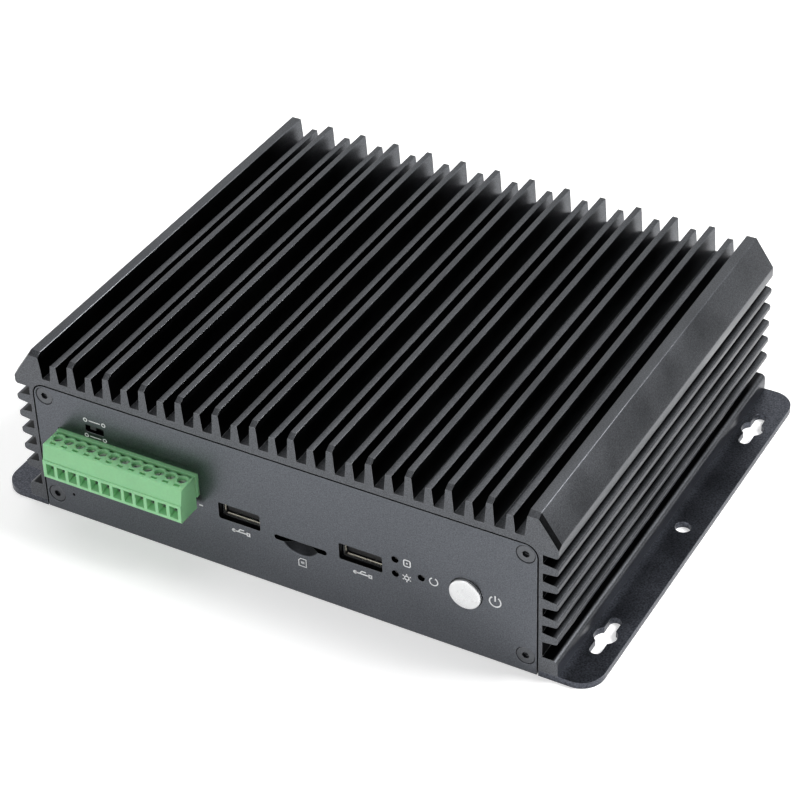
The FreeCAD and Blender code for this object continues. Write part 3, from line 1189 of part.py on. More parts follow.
def parts():
    """Every node's name and solid."""
    made = {
        "heatsink_housing": heatsink_housing(),
        "base_plate": base_plate(),
        "base_plate_screws": base_plate_screws(),
        "front_panel": front_panel(),
        "front_panel_screws": panel_screws(-1),
        "rear_panel": rear_panel(),
        "rear_panel_screws": panel_screws(1),
        "terminal_plug": terminal_plug(),
        "terminal_screws": terminal_screws(),
        "terminal_clamps": terminal_clamps(),
        "terminal_header": terminal_header(),
        "terminal_pins": terminal_pins(),
        "card_socket": card_socket(),
        "lamp_holder": lamp_holder(),
        "status_lamps": status_lamps(),
        "power_button_cap": power_button_cap(),
        "power_button_switch": power_button_switch(),
        "reset_plunger": reset_plunger(),
        "reset_switch": reset_switch(),
        "reset_board": reset_board(),
        "option_board": option_board(),
        "option_board_spacers": option_board_spacers(),
        "option_switch_body": option_switch_body(),
        "option_switch_knob": option_switch_knob(),
        "main_board": main_board(),
        "board_standoffs": board_standoffs(),
        "board_screws": board_screws(),
        "processor": processor(),
        "thermal_pad": thermal_pad(),
        "heat_block": heat_block(),
        "memory_socket": memory_socket(),
        "memory_module": memory_module(),
        "drive_socket": drive_socket(),
        "storage_drive": storage_drive(),
        "drive_post": drive_post(),
        "cell_holder": cell_holder(),
        "coin_cell": coin_cell(),
        "board_capacitors": board_capacitors(),
        "dc_jack": dc_jack(),
        "dc_pin": dc_pin(),
        "display_shell": display_shell(),
        "display_tongue": display_tongue(),
        "serial_shell": serial_shell(),
        "serial_insert": serial_insert(),
        "serial_pins": serial_pins(),
        "serial_jackscrews": serial_jackscrews(),
    }
    for side, front_x, rear_x, lan_x in zip(("left", "right"), USB_X, USB_REAR_X, LAN_X):
        made[f"usb_shell_{side}"] = usb_shell(front_x, USB_Z)
        made[f"usb_tongue_{side}"] = usb_tongue(front_x, USB_Z)
        made[f"usb_rear_shell_{side}"] = usb_shell(rear_x, USB_REAR_Z, end=1)
        made[f"usb_rear_tongue_{side}"] = usb_tongue(rear_x, USB_REAR_Z, end=1)
        made[f"lan_socket_{side}"] = lan_socket(lan_x)
    return made


def main():
    os.makedirs("parts", exist_ok=True)
    for name, shape in parts().items():
        shape.exportStep(f"parts/{name}.step")
        print(f"{name}: solids {len(shape.Solids)}, valid {shape.isValid()}, volume {shape.Volume:.1f}")


main()
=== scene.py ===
"""Finishes and fine forms of a fanless industrial computer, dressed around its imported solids.

Metres. +Z is up, the front panel faces -Y and +X is to the right seen from the front.
Each sub-assembly is a class: it holds its sizes, builds its meshes and gives them their finishes.
"""
from __future__ import annotations

import json
import logging
import math
from dataclasses import dataclass, fields
from enum import Enum
from typing import Iterator, Sequence

import bmesh
import bpy
from mathutils import Matrix, Vector


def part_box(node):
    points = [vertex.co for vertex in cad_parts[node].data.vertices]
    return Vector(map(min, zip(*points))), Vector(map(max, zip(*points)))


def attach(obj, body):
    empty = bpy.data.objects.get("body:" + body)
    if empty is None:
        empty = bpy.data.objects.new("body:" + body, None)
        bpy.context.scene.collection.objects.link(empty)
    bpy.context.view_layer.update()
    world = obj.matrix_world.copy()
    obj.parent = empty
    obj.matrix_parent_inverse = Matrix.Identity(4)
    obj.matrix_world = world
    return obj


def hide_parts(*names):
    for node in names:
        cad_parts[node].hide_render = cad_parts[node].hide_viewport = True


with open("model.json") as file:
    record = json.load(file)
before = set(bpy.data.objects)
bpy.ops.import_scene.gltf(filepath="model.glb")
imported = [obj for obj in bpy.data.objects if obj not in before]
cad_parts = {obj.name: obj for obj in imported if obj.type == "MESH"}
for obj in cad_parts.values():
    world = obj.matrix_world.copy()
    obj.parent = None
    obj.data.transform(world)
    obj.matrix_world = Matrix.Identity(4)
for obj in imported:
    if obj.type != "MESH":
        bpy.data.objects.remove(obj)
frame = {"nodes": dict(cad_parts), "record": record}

LOG = logging.getLogger("industrial_computer")
MM = 0.001
WELD = 0.002 * MM
Pair = tuple[float, float]
Colour = tuple[float, float, float]
Place = tuple[float, float, float]
Inputs = dict[str | int, object]
Socket = bpy.types.NodeSocket


# ---------------------------------------------------------------- node trees
class Tree:
    """A short hand for placing and linking the nodes of one tree."""

    def __init__(self, tree: bpy.types.NodeTree) -> None:
        """Keep the tree that is being built."""
        self.tree = tree

    def add(self, kind: str, inputs: Inputs | None = None, **settings: object) -> bpy.types.Node:
        """Place one node.

        Args:
            kind: the node's type name.
            inputs: values or sockets for its inputs, by name or index.
            settings: attributes of the node itself.

        Returns:
            The new node.
        """
        node = self.tree.nodes.new(kind)
        for name, value in settings.items():
            setattr(node, name, value)
        for name, value in (inputs or {}).items():
            self.feed(node, name, value)
        return node

    def feed(self, node: bpy.types.Node, name: str | int, value: object) -> None:
        """Give an input a plain value, or a link where the value is a socket.

        Args:
            node: the node.
            name: its input, by name or index.
            value: a plain value or a socket.
        """
        if isinstance(value, Socket):
            self.tree.links.new(value, node.inputs[name])
        else:
            node.inputs[name].default_value = value

    def math(self, operation: str, *values: object) -> Socket:
        """One arithmetic step, whose operands are numbers or sockets."""
        return self.add("ShaderNodeMath", dict(enumerate(values)), operation=operation).outputs[0]

    def plus(self, first: object, second: object) -> Socket:
        """The sum of two numbers or sockets."""
        return self.math("ADD", first, second)

    def less(self, first: object, second: object) -> Socket:
        """The first number or socket less the second."""
        return self.math("SUBTRACT", first, second)

    def times(self, first: object, second: object) -> Socket:
        """The product of two numbers or sockets."""
        return self.math("MULTIPLY", first, second)

    def over(self, value: object, limit: object) -> Socket:
        """1 where the value is over the limit and 0 elsewhere."""
        return self.math("GREATER_THAN", value, limit)

    def under(self, value: object, limit: object) -> Socket:
        """1 where the value is under the limit and 0 elsewhere."""
        return self.math("LESS_THAN", value, limit)

    def ramp(self, value: Socket, low: object, high: object, start: float = 0.0, stop: float = 1.0,
             shape: str = "LINEAR") -> Socket:
        """A value's place between two limits, kept within them.

        Args:
            value: the value.
            low: where the ramp begins.
            high: where it ends.
            start: the result at its beginning.
            stop: the result at its end.
            shape: LINEAR or SMOOTHSTEP.

        Returns:
            The result.
        """
        limits = {"Value": value, "From Min": low, "From Max": high, "To Min": start, "To Max": stop}
        return self.add("ShaderNodeMapRange", limits, interpolation_type=shape).outputs["Result"]

    def vector(self, x: object = 0.0, y: object = 0.0, z: object = 0.0) -> Socket:
        """A vector from three numbers or sockets."""
        return self.add("ShaderNodeCombineXYZ", {0: x, 1: y, 2: z}).outputs[0]

    def mixed(self, factor: object, first: object, second: object) -> Socket:
        """A colour between two colours."""
        return self.add("ShaderNodeMix", {0: factor, 6: first, 7: second}, data_type="RGBA").outputs[2]


class Group(Tree):
    """A node group with named sockets: .given holds its inputs, and give() fills its outputs."""

    def __init__(self, name: str, kind: str, inputs: dict[str, tuple[str, object]],
                 outputs: dict[str, str]) -> None:
        """Start the group.

        Args:
            name: the group's name.
            kind: ShaderNodeTree or GeometryNodeTree.
            inputs: socket type and default value of each input.
            outputs: socket type of each output.
        """
        super().__init__(bpy.data.node_groups.new(name, kind))
        for label, (socket, default) in inputs.items():
            made = self.tree.interface.new_socket(label, in_out="INPUT", socket_type=socket)
            if default is not None:
                made.default_value = default
        for label, socket in outputs.items():
            self.tree.interface.new_socket(label, in_out="OUTPUT", socket_type=socket)
        self.given = self.add("NodeGroupInput").outputs
        self.sink = self.add("NodeGroupOutput")

    def give(self, name: str, value: Socket) -> None:
        """Link a value to one of the group's outputs."""
        self.feed(self.sink, name, value)


class Form(Group):
    """A geometry tree that makes one piece from named sizes, and ends in plain meshes with a material."""

    def __init__(self, name: str, sizes: Sequence[str], counts: Sequence[str] = (),
                 turns: Sequence[str] = ()) -> None:
        """Start the tree.

        Args:
            name: the tree's name.
            sizes: names of its lengths, in metres.
            counts: names of its whole numbers.
            turns: names of its rotations.
        """
        inputs: dict[str, tuple[str, object]] = {"Places": ("NodeSocketGeometry", None)}
        inputs.update({size: ("NodeSocketFloat", 0.0) for size in sizes})
        inputs.update({count: ("NodeSocketInt", 1) for count in counts})
        inputs.update({turn: ("NodeSocketVector", None) for turn in turns})
        inputs["Material"] = ("NodeSocketMaterial", None)
        super().__init__(name, "GeometryNodeTree", inputs, {"Piece": "NodeSocketGeometry"})

    def minus(self, name: str) -> Socket:
        """A named input with its sign turned."""
        return self.times(self.given[name], -1.0)

    def pick(self, index: object, values: Sequence[object]) -> Socket:
        """The value that stands at an index.

        Args:
            index: the index, a socket.
            values: numbers or sockets, the first for index 0.

        Returns:
            The chosen number.
        """
        node = self.add("GeometryNodeIndexSwitch", data_type="FLOAT")
        while len(node.index_switch_items) < len(values):
            node.index_switch_items.new()
        self.feed(node, 0, index)
        for place, value in enumerate(values):
            self.feed(node, place + 1, value)
        return node.outputs[0]

    def index(self) -> Socket:
        """The running number of a point."""
        return self.add("GeometryNodeInputIndex").outputs[0]

    def step(self, length: int) -> tuple[Socket, Socket]:
        """Which run of so many points a point is in, and its number within that run."""
        run = self.math("FLOOR", self.math("DIVIDE", self.plus(self.index(), 0.25), float(length)))
        return run, self.math("FLOORED_MODULO", self.index(), float(length))

    def placed(self, part: Socket, position: Socket) -> Socket:
        """The part with its points moved to a position of their own."""
        return self.add("GeometryNodeSetPosition", {"Geometry": part, "Position": position}).outputs[0]

    def wire(self, count: object, x: object, y: object, radius: object = None, steps: int = 3) -> Socket:
        """A run of straight edges whose points follow a rule of their index.

        Args:
            count: how many points.
            x: their first coordinate.
            y: their second one.
            radius: radius at each point, where its corner is rounded.
            steps: points on each rounded corner.

        Returns:
            The wire, a mesh.
        """
        line = self.add("GeometryNodeCurvePrimitiveLine").outputs[0]
        line = self.add("GeometryNodeResampleCurve", {"Curve": line, "Count": count}).outputs[0]
        line = self.placed(line, self.vector(x, y))
        if radius is not None:
            line = self.add("GeometryNodeFilletCurve", {"Curve": line, "Radius": radius, "Count": steps,
                                                        "Limit Radius": True}, mode="POLY").outputs[0]
        return self.add("GeometryNodeCurveToMesh", {"Curve": line}).outputs[0]

    def corners(self, points: Sequence[Sequence[object]], steps: int = 3) -> Socket:
        """A wire through listed corners.

        Args:
            points: an x, a y and a radius for each corner.
            steps: points on each rounded corner.

        Returns:
            The wire, a mesh.
        """
        place = self.index()
        xs, ys, radii = zip(*points)
        x, y, radius = (self.pick(place, values) for values in (xs, ys, radii))
        return self.wire(len(points), x, y, radius, steps)

    def join(self, *parts: Socket) -> Socket:
        """Several geometries as one.

        Args:
            parts: the geometries.

        Returns:
            All of them together, in their order.
        """
        node = self.add("GeometryNodeJoinGeometry")
        for part in reversed(parts):
            self.tree.links.new(part, node.inputs[0])
        return node.outputs[0]

    def weld(self, part: Socket) -> Socket:
        """Points that meet become one."""
        return self.add("GeometryNodeMergeByDistance", {"Geometry": part, "Distance": WELD}).outputs[0]

    def flipped(self, part: Socket) -> Socket:
        """The same faces, turned over."""
        return self.add("GeometryNodeFlipFaces", {"Mesh": part}).outputs[0]

    def moved(self, part: Socket, shift: object = (0.0, 0.0, 0.0), turn: Sequence[float] = (0.0, 0.0, 0.0),
              scale: Sequence[float] = (1.0, 1.0, 1.0)) -> Socket:
        """The part scaled, turned and then shifted."""
        return self.add("GeometryNodeTransform", {"Geometry": part, "Translation": shift, "Rotation": turn,
                                                  "Scale": scale}).outputs[0]

    def face(self, *wires: Socket) -> Socket:
        """The flat face that wires close, their ends touching."""
        ring = self.add("GeometryNodeMeshToCurve", {"Mesh": self.weld(self.join(*wires))}).outputs[0]
        return self.add("GeometryNodeFillCurve", {"Curve": ring}, mode="TRIANGLES").outputs[0]

    def raised(self, face: Socket, length: object) -> tuple[Socket, Socket]:
        """A face moved along +Z with walls behind it.

        Args:
            face: the face.
            length: how far.

        Returns:
            The mesh without its first face, and the selection of the moved face.
        """
        node = self.add("GeometryNodeExtrudeMesh", {
            "Mesh": face, "Offset": self.vector(0.0, 0.0, 1.0), "Offset Scale": length, "Individual": False})
        return node.outputs["Mesh"], node.outputs["Top"]

    def prism(self, face: Socket, length: object) -> Socket:
        """A closed solid on a face."""
        return self.weld(self.join(self.flipped(face), self.raised(face, length)[0]))

    def rod(self, radius: object, length: object, sides: int = 32) -> Socket:
        """A closed cylinder, centred on its place and standing along Z."""
        return self.add("GeometryNodeMeshCylinder", {"Vertices": sides, "Radius": radius,
                                                     "Depth": length}).outputs[0]

    def block(self, x: object, y: object, z: object) -> Socket:
        """A box, centred on its place."""
        return self.add("GeometryNodeMeshCube", {"Size": self.vector(x, y, z)}).outputs[0]

    def turned(self, stations: Sequence[tuple[object, object]], sides: int = 32) -> Socket:
        """A solid of revolution around Z.

        Args:
            stations: radius and height of each ring, from the top's centre to the bottom's.
            sides: how many sides a ring has.

        Returns:
            The closed mesh.
        """
        rings = len(stations)
        grid = self.add("GeometryNodeMeshGrid", {"Vertices X": sides + 1, "Vertices Y": rings}).outputs[0]
        spoke, ring = self.step(rings)
        angle = self.times(spoke, math.tau / sides)
        radius = self.pick(ring, [station[0] for station in stations])
        place = self.vector(self.times(radius, self.math("COSINE", angle)),
                            self.times(radius, self.math("SINE", angle)),
                            self.pick(ring, [station[1] for station in stations]))
        return self.flipped(self.weld(self.placed(grid, place)))

    def cut(self, body: Socket, *cutters: Socket) -> Socket:
        """The body without the cutters' space.

        Args:
            body: a closed mesh.
            cutters: closed meshes to take away.

        Returns:
            What is left, closed.
        """
        node = self.add("GeometryNodeMeshBoolean", {"Mesh 1": body}, operation="DIFFERENCE",
                        solver="MANIFOLD")
        for cutter in cutters:
            self.tree.links.new(cutter, node.inputs["Mesh 2"])
        return node.outputs[0]

    def fused(self, *parts: Socket) -> Socket:
        """Overlapping solids as one.

        Args:
            parts: closed meshes.

        Returns:
            Their union, closed.
        """
        node = self.add("GeometryNodeMeshBoolean", operation="UNION", solver="MANIFOLD")
        for part in parts:
            self.tree.links.new(part, node.inputs["Mesh 2"])
        return node.outputs[0]

    def repeated(self, part: Socket, places: Socket, turn: object = (0.0, 0.0, 0.0)) -> Socket:
        """A copy of the part at each place, as plain meshes."""
        node = self.add("GeometryNodeInstanceOnPoints", {"Points": places, "Instance": part,
                                                         "Rotation": turn})
        return self.add("GeometryNodeRealizeInstances", {"Geometry": node.outputs[0]}).outputs[0]

    def row(self, count: object, start: object, pitch: object) -> Socket:
        """Points in a straight row along X."""
        return self.add("GeometryNodeMeshLine", {"Count": count, "Start Location": start,
                                                 "Offset": self.vector(pitch)}).outputs[0]

    def end(self, part: Socket) -> None:
        """Close the tree: plain meshes, with the material set.

        Args:
            part: what the tree has made.
        """
        real = self.add("GeometryNodeRealizeInstances", {"Geometry": part}).outputs[0]
        dressed = self.add("GeometryNodeSetMaterial", {"Geometry": real, "Material": self.given["Material"]})
        self.give("Piece", dressed.outputs[0])


# ---------------------------------------------------------------- from trees and points to pieces
def lengths(maker: type, *apart: str) -> list[str]:
    """Socket names of a dataclass's decimal fields, apart from those named."""
    return [item.name.replace("_", " ").capitalize() for item in fields(maker)
            if item.type == "float" and item.name not in apart]


def grown(tree: bpy.types.NodeTree, material: bpy.types.Material,
          places: Sequence[Sequence[float]] = ((0, 0, 0),), **inputs: object) -> bpy.types.Mesh:
    """Run a geometry tree once and keep its result as a plain mesh.

    Args:
        tree: the tree.
        material: the finish it sets.
        places: points that it starts from, in millimetres.
        inputs: its sizes in millimetres, whole numbers and rotations, under the sockets' names with _ for a
            space. Names that the tree doesn't have are passed over.

    Returns:
        The mesh, with no modifier behind it.
    """
    seed = bpy.data.meshes.new("seed")
    seed.from_pydata([Vector(place) * MM for place in places], [], [])
    carrier = bpy.data.objects.new("carrier", seed)
    bpy.context.scene.collection.objects.link(carrier)
    modifier = carrier.modifiers.new("form", "NODES")
    modifier.node_group = tree
    for item in tree.interface.items_tree:
        if item.in_out != "INPUT" or item.socket_type == "NodeSocketGeometry":
            continue
        if item.socket_type == "NodeSocketMaterial":
            modifier[item.identifier] = material
            continue
        value = inputs[item.name.replace(" ", "_").lower()]
        modifier[item.identifier] = value * MM if item.socket_type == "NodeSocketFloat" else value
    depsgraph = bpy.context.evaluated_depsgraph_get()
    mesh = bpy.data.meshes.new_from_object(carrier.evaluated_get(depsgraph))
    bpy.data.objects.remove(carrier)
    shape = bmesh.new()
    shape.from_mesh(mesh)
    bmesh.ops.dissolve_degenerate(shape, dist=0.2 * WELD, edges=shape.edges)
    shape.to_mesh(mesh)
    shape.free()
    return mesh


def settled(name: str, mesh: bpy.types.Mesh, body: str, slot: str, stands_for: Sequence[str] = (),
            smooth: float = 30.0) -> bpy.types.Object:
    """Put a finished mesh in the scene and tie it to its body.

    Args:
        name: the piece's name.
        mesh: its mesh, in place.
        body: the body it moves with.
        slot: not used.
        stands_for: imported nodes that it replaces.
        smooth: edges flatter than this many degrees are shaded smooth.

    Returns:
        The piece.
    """
    mesh.name = name
    mesh.shade_smooth()
    mesh.set_sharp_from_angle(angle=math.radians(smooth))
    piece = bpy.data.objects.new(name, mesh)
    bpy.context.scene.collection.objects.link(piece)
    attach(piece, body)
    if stands_for:
        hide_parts(*stands_for)
    return piece


def meshed(shape: bmesh.types.BMesh, material: bpy.types.Material) -> bpy.types.Mesh:
    """A bmesh given in millimetres as a mesh in metres with its finish.

    Args:
        shape: the bmesh, which is used up.
        material: the finish.

    Returns:
        The mesh, its faces outward.
    """
    bmesh.ops.remove_doubles(shape, verts=shape.verts, dist=WELD / MM)
    bmesh.ops.recalc_face_normals(shape, faces=shape.faces)
    bmesh.ops.scale(shape, vec=(MM, MM, MM), verts=shape.verts)
    mesh = bpy.data.meshes.new("shape")
    shape.to_mesh(mesh)
    shape.free()
    mesh.materials.append(material)
    return mesh


# ---------------------------------------------------------------- shared shader effects
def grain_group() -> bpy.types.NodeTree:
    """The fine blasted or moulded grain that most surfaces carry.

    Returns:
        The group, which puts out a tone, a patchiness and a height.
    """
    hand = Group("Grain", "ShaderNodeTree",
                 {"Vector": ("NodeSocketVector", None), "Fine scale": ("NodeSocketFloat", 4000.0),
                  "Coarse scale": ("NodeSocketFloat", 60.0)},
                 dict.fromkeys(("Tone", "Patch", "Height"), "NodeSocketFloat"))
    given = hand.given
    fine = hand.add("ShaderNodeTexNoise", {"Vector": given["Vector"], "Scale": given["Fine scale"],
                                           "Detail": 3.0, "Roughness": 0.6})
    coarse = hand.add("ShaderNodeTexNoise", {"Vector": given["Vector"], "Scale": given["Coarse scale"],
                                             "Detail": 4.0})
    hand.give("Tone", hand.ramp(fine.outputs["Fac"], 0.3, 0.7))
    hand.give("Patch", hand.ramp(coarse.outputs["Fac"], 0.35, 0.65))
    hand.give("Height", fine.outputs["Fac"])
    return hand.tree


def edge_wear_and_highlight_group() -> bpy.types.NodeTree:
    """Sharp edges, where a finish is thinnest: the lighter colour there is partly worn finish and partly
    painted highlight.

    Returns:
        The group, which puts out a mask that is bright along them, and a normal that rounds them.
    """
    hand = Group("Edge", "ShaderNodeTree",
                 {"Width": ("NodeSocketFloat", 0.15 * MM), "Vector": ("NodeSocketVector", None)},
                 {"Mask": "NodeSocketFloat", "Normal": "NodeSocketVector"})
    softened = hand.add("ShaderNodeBevel", {"Radius": hand.given["Width"]}, samples=4).outputs["Normal"]
    flat = hand.add("ShaderNodeNewGeometry").outputs["Normal"]
    turn = hand.add("ShaderNodeVectorMath", {0: softened, 1: flat}, operation="DOT_PRODUCT").outputs["Value"]
    uneven = hand.add("ShaderNodeTexNoise", {"Vector": hand.given["Vector"], "Scale": 250.0, "Detail": 2.0})
    hand.give("Mask", hand.times(hand.ramp(turn, 0.995, 0.85), uneven.outputs["Fac"]))
    hand.give("Normal", softened)
    return hand.tree


def painted_recess_shade_group() -> bpy.types.NodeTree:
    """Painted shade on the housing: the slot walls between the fins and the machined bevels, darkened in
    colour for the shade that falls there.

    Returns:
        The group, which puts out a painted shade mask for each kind of place.
    """
    hand = Group("Recess", "ShaderNodeTree",
                 {"Vector": ("NodeSocketVector", None), "Floor": ("NodeSocketFloat", 47.3 * MM),
                  "Half span": ("NodeSocketFloat", 77.2 * MM), "Slot root": ("NodeSocketFloat", 81.3 * MM),
                  "Slot edge": ("NodeSocketFloat", 85.2 * MM), "Slot top": ("NodeSocketFloat", 43.0 * MM),
                  "Rear start": ("NodeSocketFloat", 52.0 * MM), "Rear end": ("NodeSocketFloat", 70.0 * MM),
                  "Mouth": ("NodeSocketFloat", 0.8 * MM)},
                 dict.fromkeys(("Slots", "Side bevels", "Top bevels"), "NodeSocketFloat"))
    given, times, over, under = hand.given, hand.times, hand.over, hand.under
    place = hand.add("ShaderNodeSeparateXYZ", {0: given["Vector"]}).outputs
    facing = hand.add("ShaderNodeSeparateXYZ",
                      {0: hand.add("ShaderNodeNewGeometry").outputs["True Normal"]}).outputs
    aside, across = hand.math("ABSOLUTE", place["X"]), hand.math("ABSOLUTE", facing["X"])
    walls = hand.ramp(across, 0.6, 0.85)
    above = times(over(place["Z"], given["Floor"]), under(aside, given["Half span"]))
    # the painted shade fades out towards the housing's rear ends
    ahead = hand.ramp(place["Y"], given["Rear start"], given["Rear end"], 1.0, 0.0, "SMOOTHSTEP")
    top = times(times(walls, above), ahead)
    along = under(hand.math("ABSOLUTE", facing["Y"]), 0.5)
    low = times(along, under(place["Z"], given["Slot top"]))
    inward = hand.ramp(aside, given["Slot edge"], hand.less(given["Slot edge"], given["Mouth"]))
    side = times(times(low, over(aside, given["Slot root"])), inward)
    hand.give("Slots", hand.math("MAXIMUM", top, side))
    lean = times(under(facing["Y"], -0.15), over(facing["Y"], -0.7))
    sloping = over(across, 0.5)
    hand.give("Side bevels", times(lean, sloping))
    hand.give("Top bevels", times(lean, hand.less(1.0, sloping)))
    return hand.tree


def painted_depth_shade_group() -> bpy.types.NodeTree:
    """Painted shade behind a panel's outer face: countersinks, cut-out walls and the scoop, darkened in
    colour for the shade that falls there.

    Returns:
        The group, which puts out a mask for it.
    """
    hand = Group("Depth", "ShaderNodeTree",
                 {"Vector": ("NodeSocketVector", None), "Face": ("NodeSocketFloat", 72.75 * MM),
                  "Start": ("NodeSocketFloat", 0.01 * MM), "Reach": ("NodeSocketFloat", 0.25 * MM)},
                 {"Mask": "NodeSocketFloat"})
    place = hand.add("ShaderNodeSeparateXYZ", {0: hand.given["Vector"]}).outputs
    start, stop = (hand.less(hand.given["Face"], hand.given[name]) for name in ("Start", "Reach"))
    hand.give("Mask", hand.ramp(hand.math("ABSOLUTE", place["Y"]), start, stop))
    return hand.tree


@dataclass(frozen=True)
class Finish:
    """One surface finish: colour with its variation, gloss, grain, painted shade in recesses, and lighter
    edges that are partly worn finish and partly painted highlight.
    """

    name: str
    colour: Colour
    roughness: float = 0.5
    metallic: float = 0.0
    variation: float = 0.12        # darkest to lightest grain, as a share of the colour
    patches: float = 0.06          # the same for the broad patches
    fine_scale: float = 4000.0
    coarse_scale: float = 60.0
    bump: float = 0.1              # strength of the grain's bump
    # lighter colour along sharp edges: partly worn finish, partly painted highlight
    edge_colour: Colour | None = None
    edge_width: float = 0.15 * MM
    grain_depth: float = 0.02 * MM
    gloss_spread: float = 0.1      # how far roughness varies between the broad patches
    see_into: float = 0.0          # subsurface weight
    see_depth: float = 0.6 * MM
    slot_tone: float = 1.0         # painted shade on the fins' slot walls, as a share of the rest of the colour
    # painted shade on the housing's machined front bevels, as shares of the colour
    side_bevel_tone: float = 0.12
    top_bevel_tone: float = 0.62
    depth_tone: float = 1.0        # painted shade behind the panels' outer faces, as a share of the rest of the colour

    def build(self) -> bpy.types.Material:
        """Make the material.

        Returns:
            The material, with its shader in place.
        """
        material = bpy.data.materials.new(self.name)
        material.use_nodes = True
        hand = Tree(material.node_tree)
        shader = material.node_tree.nodes["Principled BSDF"]
        place = hand.add("ShaderNodeTexCoord").outputs["Object"]
        grain = hand.add("ShaderNodeGroup", {"Vector": place, "Fine scale": self.fine_scale,
                                             "Coarse scale": self.coarse_scale}, node_tree=GROUPS["grain"])
        tone = hand.math("MULTIPLY_ADD", grain.outputs["Tone"], 2 * self.variation, 1.0 - self.variation)
        patch = hand.math("MULTIPLY_ADD", grain.outputs["Patch"], 2 * self.patches, 1.0 - self.patches)
        shade = hand.times(tone, patch)
        darker: dict[str, dict[str, float]] = {}
        # painted shade: the housing's slot walls and bevels are darkened in colour where shade falls
        if self.slot_tone < 1.0:
            darker["recess"] = {"Slots": self.slot_tone, "Side bevels": self.side_bevel_tone,
                                "Top bevels": self.top_bevel_tone}
        # painted shade: what lies behind a panel's outer face is darkened in colour
        if self.depth_tone < 1.0:
            darker["depth"] = {"Mask": self.depth_tone}
        for group, shares in darker.items():
            effect = hand.add("ShaderNodeGroup", {"Vector": place}, node_tree=GROUPS[group])
            for mask, share in shares.items():
                shade = hand.times(shade, hand.math("MULTIPLY_ADD", effect.outputs[mask], share - 1.0, 1.0))
        colour = hand.add("ShaderNodeVectorMath", {0: self.colour, "Scale": shade}, operation="SCALE")
        base = colour.outputs["Vector"]
        bump = hand.add("ShaderNodeBump", {"Strength": self.bump, "Distance": self.grain_depth,
                                           "Height": grain.outputs["Height"]})
        # lighter colour along sharp edges: partly worn finish, partly painted highlight
        if self.edge_colour is not None:
            edge = hand.add("ShaderNodeGroup", {"Width": self.edge_width, "Vector": place},
                            node_tree=GROUPS["edge"])
            base = hand.mixed(edge.outputs["Mask"], base, (*self.edge_colour, 1.0))
            hand.feed(bump, "Normal", edge.outputs["Normal"])
        gloss = hand.math("MULTIPLY_ADD", grain.outputs["Patch"], self.gloss_spread,
                          self.roughness - self.gloss_spread / 2)
        for name, value in (("Base Color", base), ("Roughness", gloss), ("Normal", bump.outputs["Normal"]),
                            ("Metallic", self.metallic), ("Subsurface Weight", self.see_into),
                            ("Subsurface Scale", self.see_depth)):
            hand.feed(shader, name, value)
        return material


GROUPS: dict[str, bpy.types.NodeTree] = {"grain": grain_group(), "edge": edge_wear_and_highlight_group(),
                                         "recess": painted_recess_shade_group(), "depth": painted_depth_shade_group()}

FINISHES: dict[str, Finish] = {
    # painted shade: slot_tone darkens the slot walls between the fins and the front bevels
    "housing_aluminium": Finish("blasted_dark_aluminium", (0.092, 0.096, 0.104), 0.34, 1.0, 0.40, 0.06,
                                2600.0, 45.0, 0.2, edge_colour=(0.30, 0.31, 0.32), slot_tone=0.08),
    # painted shade: depth_tone darkens the panel's countersinks and cut-out walls
    "panel_metal": Finish("painted_panel", (0.098, 0.104, 0.116), 0.34, 1.0, 0.30, 0.05, 2600.0, 40.0, 0.12,
                          edge_colour=(0.28, 0.29, 0.30), depth_tone=0.12),
    "plate_steel": Finish("coated_steel", (0.075, 0.080, 0.095), 0.36, 1.0, 0.60, 0.08, 1900.0, 50.0, 0.35,
                          edge_colour=(0.16, 0.17, 0.19)),
    "screw_steel": Finish("blackened_screw", (0.10, 0.104, 0.112), 0.34, 1.0, 0.1, 0.05, 3000.0, 200.0, 0.05,
                          edge_colour=(0.30, 0.30, 0.31)),
    # the green plug's lighter edge colour is a painted highlight
    "terminal_plastic": Finish("green_plastic", (0.33, 0.74, 0.37), 0.45, 0.0, 0.03, 0.03, 1500.0, 90.0, 0.06,
                               edge_colour=(0.52, 0.88, 0.56), edge_width=0.2 * MM, see_into=0.08),
    "clamp_metal": Finish("plated_contact", (0.62, 0.62, 0.60), 0.3, 0.95, 0.08, 0.05, 2500.0, 150.0, 0.1),
    "socket_shell": Finish("bright_shell", (0.44, 0.445, 0.45), 0.30, 0.95, 0.05, 0.05, 2500.0, 120.0, 0.05),
    "black_plastic": Finish("black_plastic", (0.012, 0.012, 0.013), 0.5, 0.0, 0.1, 0.05, 1800.0, 90.0, 0.08),
    "knob_plastic": Finish("knob_plastic", (0.05, 0.05, 0.055), 0.45, 0.0, 0.04, 0.04, 1800.0, 90.0, 0.05),
    "lamp_plastic": Finish("lamp_plastic", (0.02, 0.02, 0.02), 0.35, 0.0, 0.04, 0.04, 1800.0, 90.0, 0.02),
    "button_metal": Finish("satin_button", (0.72, 0.725, 0.73), 0.28, 0.92, 0.01, 0.01, 3500.0, 60.0, 0.005),
    "board_laminate": Finish("board_laminate", (0.012, 0.09, 0.04), 0.4, 0.0, 0.05, 0.05, 1500.0, 80.0, 0.05),
    "bare_metal": Finish("bare_metal", (0.55, 0.56, 0.57), 0.35, 0.9, 0.06, 0.05, 2500.0, 120.0, 0.08),
    "pad_rubber": Finish("pad_rubber", (0.35, 0.37, 0.42), 0.7, 0.0, 0.05, 0.05, 1500.0, 80.0, 0.08),
}

MARK_INK = Finish("printed_ink", (0.84, 0.85, 0.86), 0.5, 0.0, 0.04, 0.03, 3000.0, 300.0, 0.05)
